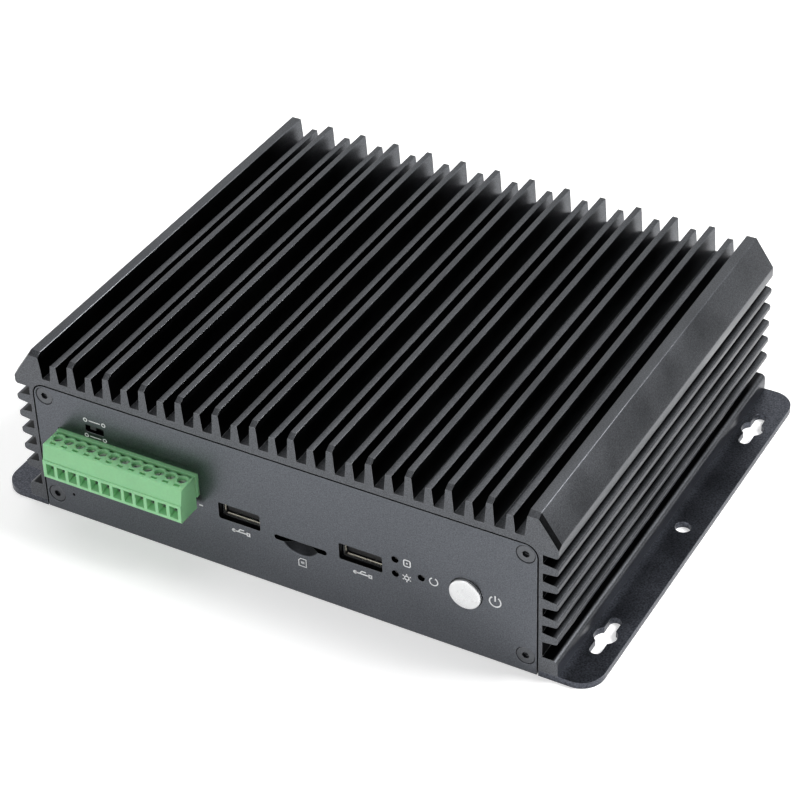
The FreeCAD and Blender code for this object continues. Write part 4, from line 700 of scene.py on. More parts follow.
# painted glint: a near-white matt colour on the sockets' mouth lips stands in for the glint of their metal
LIP_PAINTED_GLINT = Finish("bright_lip", (1.0, 0.94, 0.78), 0.35, 0.0, 0.03, 0.02, 2500.0, 150.0, 0.02)
LINK_LENS = Finish("link_lens", (0.42, 0.47, 0.40), 0.3, 0.0, 0.03, 0.03, 1500.0, 200.0, 0.03, see_into=0.1)


# ---------------------------------------------------------------- housing
@dataclass
class FinnedHousing:
    """The housing: one extrusion with finned top and sides, its ends recessed for the panels. Millimetres."""

    fin_count: int = 25
    fin_pitch: float = 6.0
    fin_floor: float = 47.2
    short_top: float = 52.8
    tall_top: float = 55.4
    fin_root: float = 1.48             # half widths
    fin_tip: float = 0.94
    tip_edge: float = 0.16
    half_width: float = 86.1
    side_fin_count: int = 5
    side_pitch: float = 6.0
    side_first: float = 14.25          # centre line of the lowest side fin
    side_depth: float = 4.6
    side_root: float = 1.62
    side_tip: float = 1.12
    side_edge: float = 0.85
    foot_top: float = 7.25
    foot_round: float = 1.6
    shoulder_under: float = 42.9
    shoulder_side: float = 46.7
    shoulder_inner: float = 77.0
    shoulder_foot: float = 76.2
    shoulder_width: float = 3.2
    shoulder_round: float = 0.6
    crest_round: float = 0.3
    underside: float = 2.0
    cavity_half: float = 78.0
    cavity_top: float = 43.7
    cavity_round: float = 1.0
    pocket_half: float = 80.4
    pocket_top: float = 45.0
    pocket_round: float = 4.1
    pocket_depth: float = 2.0
    bevel_length: float = 1.8
    bevel_reach: float = 0.7           # how far below an edge its points still count to it
    top_bevel: float = 1.1
    slope_bevel: float = 0.55
    port_radius: float = 3.4
    bore_radius: float = 1.55
    bore_depth: float = 10.0
    screw_places: tuple[Pair, ...] = ((-76.5, 5.6), (76.5, 5.6), (-76.5, 41.1), (76.5, 41.1))

    APART = ("top_bevel", "slope_bevel")       # the tree gets these two as the three shifts
    SHIFTS = ("Top drop", "Side drop", "Edge shift")

    def side_wires(self, form: Form) -> Socket:
        """The right side's outline, from the foot over the side fins to the shoulder.

        Args:
            form: the tree.

        Returns:
            The outline, in wires whose ends touch.
        """
        given, plus, less, times = form.given, form.plus, form.less, form.times
        out, under, edge, crisp = (given[name] for name in ("Half width", "Shoulder under", "Side edge",
                                                           "Crest round"))
        root = less(out, given["Side depth"])
        low = less(given["Side first"], given["Side root"])
        foot = form.corners([(out, given["Underside"], 0.0), (out, given["Foot top"], given["Foot round"]),
                             (root, given["Foot top"], 0.0), (root, low, 0.0)], 4)
        fin, corner = form.step(4)
        middle = plus(given["Side first"], times(fin, given["Side pitch"]))
        rise = form.pick(corner, [form.minus("Side root"), form.minus("Side tip"), given["Side tip"],
                                  given["Side root"]])
        fins = form.wire(times(given["Side fin count"], 4.0), form.pick(corner, [root, out, out, root]),
                         plus(middle, rise), form.pick(corner, [0.0, edge, edge, 0.0]))
        span = times(less(given["Side fin count"], 1.0), given["Side pitch"])
        high = plus(plus(given["Side first"], span), given["Side root"])
        crest = plus(given["Shoulder inner"], given["Shoulder width"])
        reach = times(less(given["Fin count"], 1.0), 0.5)
        outer = plus(times(reach, given["Fin pitch"]), given["Fin root"])
        shoulder = form.corners([
            (root, high, 0.0), (root, under, 0.0), (out, under, edge),
            (out, given["Shoulder side"], given["Shoulder round"]), (crest, given["Tall top"], crisp),
            (given["Shoulder inner"], given["Tall top"], crisp),
            (given["Shoulder foot"], given["Fin floor"], 0.0), (outer, given["Fin floor"], 0.0)])
        return form.join(foot, fins, shoulder)

    def fin_wire(self, form: Form) -> Socket:
        """The top fins' outline, short and tall in turn.

        Args:
            form: the tree.

        Returns:
            The outline.
        """
        given = form.given
        fin, corner = form.step(4)
        back = form.times(form.less(given["Fin count"], 1.0), 0.5)
        middle = form.times(form.less(fin, back), given["Fin pitch"])
        aside = form.pick(corner, [form.minus("Fin root"), form.minus("Fin tip"), given["Fin tip"],
                                   given["Fin root"]])
        top = form.pick(form.math("FLOORED_MODULO", fin, 2.0), [given["Short top"], given["Tall top"]])
        return form.wire(form.times(given["Fin count"], 4.0), form.plus(middle, aside),
                         form.pick(corner, [given["Fin floor"], top, top, given["Fin floor"]]),
                         form.pick(corner, [0.0, given["Tip edge"], given["Tip edge"], 0.0]), 2)

    def cavity_wire(self, form: Form) -> Socket:
        """The inside, from one foot's outer corner to the other's.

        Args:
            form: the tree.

        Returns:
            The outline.
        """
        given, low, top = form.given, form.given["Underside"], form.given["Cavity top"]
        left, right, corner = form.minus("Cavity half"), given["Cavity half"], given["Cavity round"]
        return form.corners([(form.minus("Half width"), low, 0.0), (left, low, 0.0), (left, top, corner),
                             (right, top, corner), (right, low, 0.0), (given["Half width"], low, 0.0)])

    def bevelled(self, form: Form, mesh: Socket, end_face: Socket) -> Socket:
        """The front end with its tall edges machined back.

        Args:
            form: the tree.
            mesh: the extrusion.
            end_face: selection of its front face.

        Returns:
            The mesh with the front face's upper points moved.
        """
        given = form.given
        place = form.add("ShaderNodeSeparateXYZ",
                         {0: form.add("GeometryNodeInputPosition").outputs[0]}).outputs
        aside, outward = form.math("ABSOLUTE", place["X"]), form.math("SIGN", place["X"])
        crest = form.plus(given["Shoulder inner"], given["Shoulder width"])
        limits = ((place["Y"], given["Tall top"]), (aside, crest), (aside, given["Half width"]),
                  (place["Y"], given["Shoulder side"]))
        top, brink, flank, slope = (form.over(value, form.less(limit, given["Bevel reach"]))
                                    for value, limit in limits)
        side = form.times(flank, slope)
        drop = form.plus(form.times(top, given["Top drop"]), form.times(side, given["Side drop"]))
        slide = form.times(form.times(top, brink), form.times(outward, given["Edge shift"]))
        return form.add("GeometryNodeSetPosition", {
            "Geometry": mesh, "Selection": end_face,
            "Offset": form.vector(slide, form.times(drop, -1.0))}).outputs[0]

    def tree(self) -> bpy.types.NodeTree:
        """The whole extrusion as a geometry tree.

        Returns:
            The tree.
        """
        form = Form("Finned extrusion", ("Length", *lengths(type(self), *self.APART), *self.SHIFTS),
                    ("Fin count", "Side fin count"))
        given, times = form.given, form.times
        right = self.side_wires(form)
        left = form.moved(right, scale=(-1.0, 1.0, 1.0))
        face = form.face(right, left, self.fin_wire(form), self.cavity_wire(form))
        body, front = form.raised(face, form.less(given["Length"], given["Bevel length"]))
        nose = form.add("GeometryNodeExtrudeMesh", {
            "Mesh": body, "Selection": front, "Offset": form.vector(0.0, 0.0, 1.0),
            "Offset Scale": given["Bevel length"], "Individual": False}).outputs
        bar = form.weld(form.join(form.flipped(face), self.bevelled(form, nose["Mesh"], nose["Top"])))
        half = times(given["Length"], 0.5)
        upright = (math.pi / 2, 0.0, 0.0)
        bar = form.moved(bar, form.vector(0.0, half), upright)
        wide, top, slim = given["Pocket half"], given["Pocket top"], form.minus("Pocket half")
        pocket = form.face(form.corners([(slim, 0.0, 0.0), (slim, top, given["Pocket round"]),
                                         (wide, top, given["Pocket round"]), (wide, 0.0, 0.0)], 8),
                           form.corners([(slim, 0.0, 0.0), (wide, 0.0, 0.0)]))
        pocket = form.prism(pocket, form.plus(given["Pocket depth"], MM))
        inner = form.less(half, given["Pocket depth"])
        behind, ahead = form.vector(0.0, inner), form.vector(0.0, times(inner, -1.0))
        ports = form.repeated(form.rod(given["Port radius"], times(inner, 2.0)), given["Places"], upright)
        bores = form.rod(given["Bore radius"], times(given["Bore depth"], 2.0), 16)
        bores = form.repeated(bores, given["Places"], upright)
        form.end(form.cut(form.fused(bar, ports), form.moved(pocket, ahead, upright),
                          form.moved(pocket, form.vector(0.0, form.plus(half, MM)), upright),
                          form.moved(bores, ahead), form.moved(bores, behind)))
        return form.tree

    def build(self, finishes: dict[str, bpy.types.Material]) -> list[bpy.types.Object]:
        """Make the housing.

        Args:
            finishes: a material for each slot.

        Returns:
            The pieces made.
        """
        low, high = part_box("heatsink_housing")
        crest = self.shoulder_inner + self.shoulder_width
        lean = Vector((self.tall_top - self.shoulder_side, self.half_width - crest)).normalized()
        mesh = grown(self.tree(), finishes["housing_aluminium"], [(x, 0.0, z) for x, z in self.screw_places],
                     length=(high.y - low.y) / MM, top_drop=self.top_bevel,
                     side_drop=self.slope_bevel / lean.y,
                     edge_shift=(self.top_bevel * lean.y - self.slope_bevel) / lean.x, **vars(self))
        return [settled("finned_housing", mesh, "root", "housing_aluminium", ["heatsink_housing"], 25.0)]


# ---------------------------------------------------------------- screws
class Recess(Enum):
    """What a driver turns a screw by."""

    HEX = 0
    SLOT = 1


@dataclass(frozen=True)
class Screw:
    """Sizes of one kind of screw, in millimetres."""

    head_radius: float
    cone_depth: float              # below the head's rim
    edge: float                    # bevel round the head's face
    rim: float                     # straight part of the rim
    shank_radius: float
    shank_length: float
    recess_width: float
    recess_depth: float
    recess: Recess = Recess.HEX
    first_turn: int = 20           # degrees
    turn_step: int = 47


@dataclass
class Fasteners:
    """All the screws that show, each set repeated over its places by one tree. Millimetres."""

    panel: Screw = Screw(2.72, 1.15, 0.12, 0.1, 1.45, 8.0, 2.0, 1.2)
    plate: Screw = Screw(2.75, 1.3, 0.1, 0.05, 1.45, 5.4, 2.0, 1.2)
    clamp: Screw = Screw(1.25, 0.2, 0.15, 1.2, 0.8, 6.2, 0.42, 0.6, Recess.SLOT, 25)
    sunk: float = 0.2              # panel screws' heads below the panels' faces
    plate_sunk: float = 0.05
    foot_x: float = 81.0
    foot_y: float = 58.0
    post_x: float = 69.0
    post_y: float = 52.0
    clamp_top: float = 30.01
    sides: int = 40
    slot_length: float = 2.4       # a driver slot's length, in head radii

    def tree(self) -> bpy.types.NodeTree:
        """One screw at each place, each turned a little further than the one before.

        Returns:
            The tree.
        """
        form = Form("Repeated screw", lengths(Screw), ("Recess", "First turn", "Turn step"), ("Facing",))
        given, less, times = form.given, form.less, form.times
        edge, tip = form.minus("Edge"), form.minus("Shank length")
        rim = less(edge, given["Rim"])
        cone = less(rim, given["Cone depth"])
        head, shank = given["Head radius"], given["Shank radius"]
        solid = form.turned([(0.0, 0.0), (less(head, given["Edge"]), 0.0), (head, edge), (head, rim),
                             (shank, cone), (shank, tip), (0.0, tip)], self.sides)
        deep = times(given["Recess depth"], 2.0)
        across = times(given["Recess width"], 1.0 / math.sqrt(3.0))
        chooser = form.add("GeometryNodeIndexSwitch", {"Index": given["Recess"]}, data_type="GEOMETRY")
        form.feed(chooser, Recess.HEX.value + 1, form.rod(across, deep, 6))
        form.feed(chooser, Recess.SLOT.value + 1,
                  form.block(times(head, self.slot_length), given["Recess width"], deep))
        unit = form.cut(solid, chooser.outputs[0])
        turn = form.plus(given["First turn"], times(form.index(), given["Turn step"]))
        spin = form.vector(0.0, 0.0, form.math("RADIANS", turn))
        facing = form.add("FunctionNodeRotateRotation", {0: given["Facing"], 1: spin}, rotation_space="LOCAL")
        form.end(form.repeated(unit, given["Places"], facing.outputs[0]))
        return form.tree

    def build(self, finishes: dict[str, bpy.types.Material]) -> list[bpy.types.Object]:
        """Make every set.

        Args:
            finishes: a material for each slot.

        Returns:
            The pieces made.
        """
        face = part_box("front_panel")[0].y / MM
        front, rear = face + self.sunk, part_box("rear_panel")[1].y / MM - self.sunk
        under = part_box("base_plate")[0].z / MM + self.plate_sunk
        feet = [(sx * self.foot_x, sy * self.foot_y, under) for sx in (-1, 1) for sy in (-1, 0, 1)]
        feet += [(sx * self.post_x, sy * self.post_y, under) for sx in (-1, 1) for sy in (-1, 1)]
        wells = [(x, face - TerminalBlock.well_ahead, self.clamp_top) for x in TerminalBlock.pole_xs()]
        fronts, rears = ([(x, y, z) for x, z in FinnedHousing.screw_places] for y in (front, rear))
        quarter = math.pi / 2
        tree, pieces = self.tree(), []
        for name, node, screw, places, turn, slot in (
                ("front_screws", "front_panel_screws", self.panel, fronts, quarter, "screw_steel"),
                ("rear_screws", "rear_panel_screws", self.panel, rears, -quarter, "screw_steel"),
                ("plate_screws", "base_plate_screws", self.plate, feet, 2 * quarter, "screw_steel"),
                ("clamping_screws", "terminal_screws", self.clamp, wells, 0.0, "clamp_metal")):
            mesh = grown(tree, finishes[slot], places, facing=(turn, 0.0, 0.0),
                         **{**vars(screw), "recess": screw.recess.value})
            pieces.append(settled(name, mesh, "root", slot, [node]))
        return pieces


# ---------------------------------------------------------------- terminal plug
@dataclass
class TerminalBlock:
    """The green screw plug that sits in its header. Millimetres, with depths ahead of the panel face."""

    poles: int = 12
    pitch: float = 3.81
    first_x: float = -70.1
    margin: float = 2.44
    bottom: float = 19.94
    ledge: float = 26.0
    top: float = 30.91
    front: float = 9.3
    shelf: float = 8.9
    upper: float = 8.0
    web: float = 2.5
    seat: float = 1.45
    trough: float = 27.3               # floor of the gap behind the scallops
    edge_round: float = 0.25
    post: float = 0.7
    well_ahead: float = 3.8
    well_radius: float = 1.375
    well_rim: float = 0.14
    well_lead: float = 0.182           # how far down the well the rim's slope reaches
    well_depth: float = 4.6
    collar_radius: float = 2.0
    test_width: float = 1.85
    test_length: float = 0.8
    test_depth: float = 1.2
    test_ahead: float = 6.5
    entry_width: float = 2.75
    entry_low: float = 21.0
    entry_high: float = 25.0
    entry_rise: float = 0.6
    entry_lead: float = 2.0
    entry_depth: float = 7.4
    neck_low: float = 24.65
    neck_high: float = 27.2
    neck_back: float = 6.0             # behind the panel face
    neck_margin: float = 1.4           # the neck ends this much inside the plug's ends
    neck_overlap: float = 0.4          # how far the neck reaches into the body
    shaft_radius: float = 0.85         # room for a clamping screw's shank, below its well
    shaft_length: float = 4.0

    @classmethod
    def pole_xs(cls) -> list[float]:
        """Centre line of each pole."""
        return [cls.first_x + pole * cls.pitch for pole in range(cls.poles)]

    def tree(self) -> bpy.types.NodeTree:
        """The plug as a geometry tree, with the panel face at y = 0.

        Returns:
            The tree.
        """
        form = Form("Screw plug", lengths(type(self)), ("Poles",))
        given, add, less, times, minus = form.given, form.plus, form.less, form.times, form.minus
        along = (math.pi / 2, 0.0, math.pi / 2)
        span = times(less(given["Poles"], 1.0), given["Pitch"])
        left = less(given["First x"], given["Margin"])
        width = add(span, times(given["Margin"], 2.0))
        edge = given["Edge round"]
        ring = [(minus("Front"), given["Bottom"], edge), (minus("Front"), given["Ledge"], edge),
                (minus("Shelf"), given["Ledge"], 0.0), (minus("Upper"), given["Top"], edge),
                (minus("Seat"), given["Top"], 0.0), (minus("Seat"), given["Bottom"], edge)]
        start = (times(add(given["Front"], given["Seat"]), -0.5), given["Bottom"], 0.0)
        face = form.face(form.corners([start, *ring, start]))
        body = form.moved(form.prism(face, width), form.vector(left), along)
        poles = form.row(given["Poles"], form.vector(given["First x"], minus("Well ahead")), given["Pitch"])
        tall = add(less(given["Top"], given["Trough"]), MM)
        level = add(given["Trough"], times(tall, 0.5))
        middle = add(left, times(width, 0.5))
        web, seat = given["Web"], given["Seat"]
        trough = form.block(less(width, times(given["Post"], 2.0)), add(less(web, seat), MM), tall)
        trough = form.moved(trough, form.vector(middle, times(add(web, less(seat, MM)), -0.5), level))
        collar = form.moved(form.rod(given["Collar radius"], add(tall, MM), 40), form.vector(0.0, 0.0, level))
        half, double = times(given["Poles"], 0.5), times(given["Pitch"], 2.0)
        alternate = [form.repeated(collar, form.row(count, form.vector(add(given["First x"], shift),
                                                                       minus("Well ahead")), double))
                     for count, shift in ((form.math("CEIL", half), 0.0),
                                          (form.math("FLOOR", half), given["Pitch"]))]
        trough = form.cut(trough, *alternate)
        over = given["Neck overlap"]
        neck = form.block(less(width, times(given["Neck margin"], 2.0)),
                          add(add(given["Neck back"], given["Seat"]), over),
                          less(given["Neck high"], given["Neck low"]))
        neck = form.moved(neck, form.vector(
            middle, times(less(less(given["Neck back"], given["Seat"]), over), 0.5),
            times(add(given["Neck high"], given["Neck low"]), 0.5)))
        solid = form.fused(form.cut(body, trough), neck)
        rim, bore, deep = given["Well rim"], given["Well radius"], minus("Well depth")
        flare = add(bore, rim)
        well = form.turned([(0.0, MM), (flare, MM), (flare, 0.0), (bore, minus("Well lead")), (bore, deep),
                            (0.0, deep)])
        wells = form.repeated(form.moved(well, form.vector(0.0, 0.0, given["Top"])), poles)
        shaft = form.moved(form.rod(given["Shaft radius"], given["Shaft length"], 16),
                           form.vector(0.0, 0.0, less(given["Top"], add(given["Well depth"], MM))))
        test = form.block(given["Test width"], given["Test length"], times(given["Test depth"], 2.0))
        behind = less(given["Well ahead"], given["Test ahead"])
        test = form.moved(test, form.vector(0.0, behind, given["Top"]))
        mouth, deep = minus("Front"), less(given["Entry depth"], given["Front"])
        lead = add(mouth, given["Entry lead"])
        outside = less(mouth, MM)
        sill, high = given["Entry low"], given["Entry high"]
        low = add(sill, given["Entry rise"])
        entry = form.face(form.corners([(x, y, 0.0) for x, y in (
            (outside, sill), (mouth, sill), (lead, low), (deep, low), (deep, high), (outside, high),
            (outside, sill))]))
        entry = form.moved(form.prism(entry, given["Entry width"]),
                           form.vector(times(given["Entry width"], -0.5)), along)
        line = form.row(given["Poles"], form.vector(given["First x"]), given["Pitch"])
        form.end(form.cut(solid, wells, form.repeated(shaft, poles), form.repeated(test, poles),
                          form.repeated(entry, line)))
        return form.tree

    def build(self, finishes: dict[str, bpy.types.Material]) -> list[bpy.types.Object]:
        """Make the plug.

        Args:
            finishes: a material for each slot.

        Returns:
            The pieces made.
        """
        mesh = grown(self.tree(), finishes["terminal_plastic"], **vars(self))
        mesh.transform(Matrix.Translation((0.0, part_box("front_panel")[0].y, 0.0)))
        return [settled("screw_plug", mesh, "root", "terminal_plastic", ["terminal_plug"])]


# ---------------------------------------------------------------- printed marks
class Mark(Enum):
    """The plain signs printed beside the controls."""

    FRAME = "frame"                # a rounded square with a dot
    LAMP = "lamp"                  # a ring with rays
    LOOP = "loop"                  # an open ring
    STANDBY = "standby"            # an open ring with a bar
    CARD = "card"                  # a small card with contact bars
    PORT = "port"                  # a line with a node at each end
    SWITCH = "switch"              # two positions joined by a line
    DASH = "dash"


@dataclass
class PrintedMarks:
    """Off-white generic marks, thin layers of ink on the front panel. Millimetres."""

    thickness: float = 0.03
    places: tuple[tuple[Mark, float, float, float, float], ...] = (     # mark, x, z, size, width of its lines
        (Mark.FRAME, 40.85, 24.2, 2.4, 0.38), (Mark.LAMP, 40.65, 18.9, 2.5, 0.36),
        (Mark.LOOP, 48.95, 20.9, 2.5, 0.36), (Mark.STANDBY, 67.55, 21.2, 3.4, 0.42),
        (Mark.CARD, 7.35, 11.6, 2.4, 0.26), (Mark.PORT, -12.5, 15.0, 5.9, 0.46),
        (Mark.PORT, 26.7, 14.9, 5.9, 0.46),
        (Mark.SWITCH, -59.6, 37.5, 7.6, 0.34), (Mark.SWITCH, -59.7, 32.0, 7.6, 0.34),
        (Mark.DASH, -25.3, 20.1, 1.3, 0.5))

    def ribbon(self, shape: bmesh.types.BMesh, stroke: float, points: Sequence[Pair],
               closed: bool = False) -> None:
        """One inked line.

        Args:
            shape: where its faces go.
            stroke: its width.
            points: its middle line, as x and z.
            closed: whether it ends where it starts.
        """
        half = stroke / 2
        count = len(points)
        rows = []
        for place, point in enumerate(points):
            before = Vector(points[place - 1]) if closed or place else None
            after = Vector(points[(place + 1) % count]) if closed or place < count - 1 else None
            here = Vector(point)
            ways = [(here - before).normalized()] if before is not None else []
            ways += [(after - here).normalized()] if after is not None else []
            along = sum(ways, Vector((0.0, 0.0))).normalized()
            side = Vector((-along.y, along.x)) * half / max(0.5, along.dot(ways[0]))
            rows.append([shape.verts.new((spot.x, depth, spot.y)) for spot in (here - side, here + side)
                         for depth in (0.0, -self.thickness)])
        for place in range(count if closed else count - 1):
            first, second = rows[place], rows[(place + 1) % count]
            for a, b in ((0, 1), (1, 3), (3, 2), (2, 0)):
                shape.faces.new((first[a], first[b], second[b], second[a]))
        if not closed:
            for row in (rows[0], rows[-1]):
                shape.faces.new((row[0], row[1], row[3], row[2]))

    def disc(self, shape: bmesh.types.BMesh, x: float, z: float, radius: float, sides: int = 20) -> None:
        """A filled round spot.

        Args:
            shape: where its faces go.
            x: its centre across the panel.
            z: its centre's height.
            radius: its radius.
            sides: how many sides it has.
        """
        spot = self.arc(x, z, radius, 0.0, 360.0, sides)[:-1]
        near = [shape.verts.new((a, -self.thickness, b)) for a, b in spot]
        far = [shape.verts.new((a, 0.0, b)) for a, b in spot]
        shape.faces.new(near)
        shape.faces.new(far[::-1])
        for place in range(sides):
            after = (place + 1) % sides
            shape.faces.new((near[place], far[place], far[after], near[after]))

    @staticmethod
    def arc(x: float, z: float, radius: float, start: float, stop: float, steps: int = 26) -> list[Pair]:
        """Points along an arc.

        Args:
            x: its centre across the panel.
            z: its centre's height.
            radius: its radius.
            start: the angle that it starts at, in degrees.
            stop: the angle that it ends at.
            steps: how many lengths it is cut into.

        Returns:
            The points, one more than the lengths.
        """
        turns = [math.radians(start + (stop - start) * step / steps) for step in range(steps + 1)]
        return [(x + radius * math.cos(turn), z + radius * math.sin(turn)) for turn in turns]

    def draw(self, shape: bmesh.types.BMesh, mark: Mark, x: float, z: float, size: float,
             stroke: float) -> None:
        """Ink one mark.

        Args:
            shape: where its faces go.
            mark: which one.
            x: its centre across the panel.
            z: its centre's height.
            size: its greatest width.
            stroke: the width of its lines.
        """
        half = size / 2
        lines: list[tuple[list[Pair], bool, float]] = []       # points, whether closed, how much thinner
        if mark is Mark.FRAME:
            lines.append(([point for start, sx, sz in ((0, 1, 1), (90, -1, 1), (180, -1, -1), (270, 1, -1))
                           for point in self.arc(x + sx * (half - 0.7), z + sz * (half - 0.6), 0.5, start,
                                                 start + 90, 4)], True, 0.0))
            self.disc(shape, x, z, 0.3)
        elif mark is Mark.LAMP:
            lines.append((self.arc(x, z + 0.1, half * 0.54, 0, 345, 23), True, 0.0))
            for turn in range(30, 390, 60):
                way = Vector((math.cos(math.radians(turn)), math.sin(math.radians(turn)))) * half
                lines.append(([(x + way.x * reach, z + 0.1 + way.y * reach) for reach in (0.82, 1.16)],
                              False, 0.0))
        elif mark is Mark.LOOP:
            lines.append((self.arc(x, z, half, 112, 428), False, 0.0))
        elif mark is Mark.STANDBY:
            lines += [(self.arc(x, z, half, 122, 418), False, 0.0),
                      ([(x, z + 0.1), (x, z + half + 0.35)], False, 0.0)]
        elif mark is Mark.CARD:
            lines.append(([(x - half, z - 1.35), (x + half, z - 1.35), (x + half, z + 1.35),
                           (x - half + 0.7, z + 1.35), (x - half, z + 0.65)], True, 0.0))
            lines += [([(x + bar, z - 0.4), (x + bar, z + 0.4)], False, 0.02) for bar in (-0.35, 0.05, 0.45)]
        elif mark is Mark.PORT:
            tail, head, tip = x - half + 0.6, x + half - 0.9, x + half - 0.1
            self.disc(shape, tail, z, 0.62)
            lines += [([(tail, z), (head, z)], False, 0.0),
                      ([(head, z - 0.45), (head, z + 0.45), (tip, z + 0.45), (tip, z - 0.45)], True, 0.06),
                      ([(x - 0.9, z + 0.1), (x - 0.2, z + 0.95), (x + 1.1, z + 0.95)], False, 0.08)]
        elif mark is Mark.SWITCH:
            lines += [(self.arc(x + side * (half - 0.7), z, 0.55, 0, 345, 23), True, 0.0) for side in (-1, 1)]
            lines.append(([(x - half + 1.9, z), (x + half - 1.9, z)], False, 0.0))
        else:
            lines.append(([(x - half, z), (x + half, z)], False, 0.0))
        for points, closed, thinner in lines:
            self.ribbon(shape, stroke - thinner, points, closed)

    def build(self, finishes: dict[str, bpy.types.Material]) -> list[bpy.types.Object]:
        """Ink all the marks.

        Args:
            finishes: a material for each slot.

        Returns:
            The pieces made.
        """
        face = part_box("front_panel")[0].y / MM
        shape = bmesh.new()
        for place in self.places:
            self.draw(shape, *place)
        bmesh.ops.translate(shape, vec=(0.0, face, 0.0), verts=shape.verts)
        mesh = meshed(shape, MARK_INK.build())
        return [settled("printed_marks", mesh, "root", "panel_metal")]


# ---------------------------------------------------------------- power button
@dataclass
class PowerButton:
    """The round metal cap, with a softly rounded rim, its flange and its stem. Millimetres."""

    radius: float = 4.8
    rim: float = 0.4               # radius of the rim's edge
    dish: float = 0.06             # how far the face's middle sinks
    dish_rings: tuple[Pair, ...] = ((0.0, 1.0), (1.8, 0.75), (3.3, 0.25))      # radius and share of the dish
    flange_radius: float = 6.0
    flange: float = 1.0
    stem_radius: float = 1.7
    behind: float = 0.1            # from the panel's back to the flange
    sides: int = 72
    rim_steps: int = 5

    def rings(self, depth: float, neck: float) -> list[Pair]:
        """The cap's section.

        Args:
            depth: from the face to the stem's end.
            neck: from the face to the flange.

        Returns:
            Radius and depth of each ring, from the face's middle to the stem's end.
        """
        shoulder = self.radius - self.rim
        face = [(radius, self.dish * share) for radius, share in self.dish_rings] + [(shoulder, 0.0)]
        for step in range(1, self.rim_steps + 1):
            turn = math.pi / 2 * step / self.rim_steps
            face.append((shoulder + self.rim * math.sin(turn), self.rim * (1 - math.cos(turn))))
        back = neck + self.flange
        return face + [(self.radius, neck), (self.flange_radius, neck), (self.flange_radius, back),
                       (self.stem_radius, back), (self.stem_radius, depth), (0.0, depth)]

    def build(self, finishes: dict[str, bpy.types.Material]) -> list[bpy.types.Object]:
        """Turn the cap.

        Args:
            finishes: a material for each slot.

        Returns:
            The pieces made.
        """
        low, high = (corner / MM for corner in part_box("power_button_cap"))
        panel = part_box("front_panel")[1].y / MM
        middle = (low + high) / 2
        shape = bmesh.new()
        last: list[bmesh.types.BMVert] = []
        for radius, depth in self.rings(high.y - low.y, panel + self.behind - low.y):
            turns = [math.tau * step / self.sides for step in range(self.sides)] if radius else [0.0]
            ring = [shape.verts.new((middle.x + radius * math.cos(turn), low.y + depth,
                                     middle.z + radius * math.sin(turn))) for turn in turns]
            for step in range(self.sides if last else 0):
                after = (step + 1) % self.sides
                if len(last) == 1:
                    shape.faces.new((last[0], ring[step], ring[after]))
                elif len(ring) == 1:
                    shape.faces.new((last[step], last[after], ring[0]))
                else:
                    shape.faces.new((last[step], last[after], ring[after], ring[step]))
            last = ring
        mesh = meshed(shape, finishes["button_metal"])
        return [settled("button_cap", mesh, "power_button", "button_metal", ["power_button_cap"])]


# ---------------------------------------------------------------- contacts in the sockets
@dataclass(frozen=True)
class Strips:
    """A row of like metal strips, in millimetres: each rises along its length like a leaf spring."""

    count: int
    pitch: float
    width: float
    length: float
    thickness: float
    rise: float


Row = tuple[str, Strips, list[Place], float, str, str]


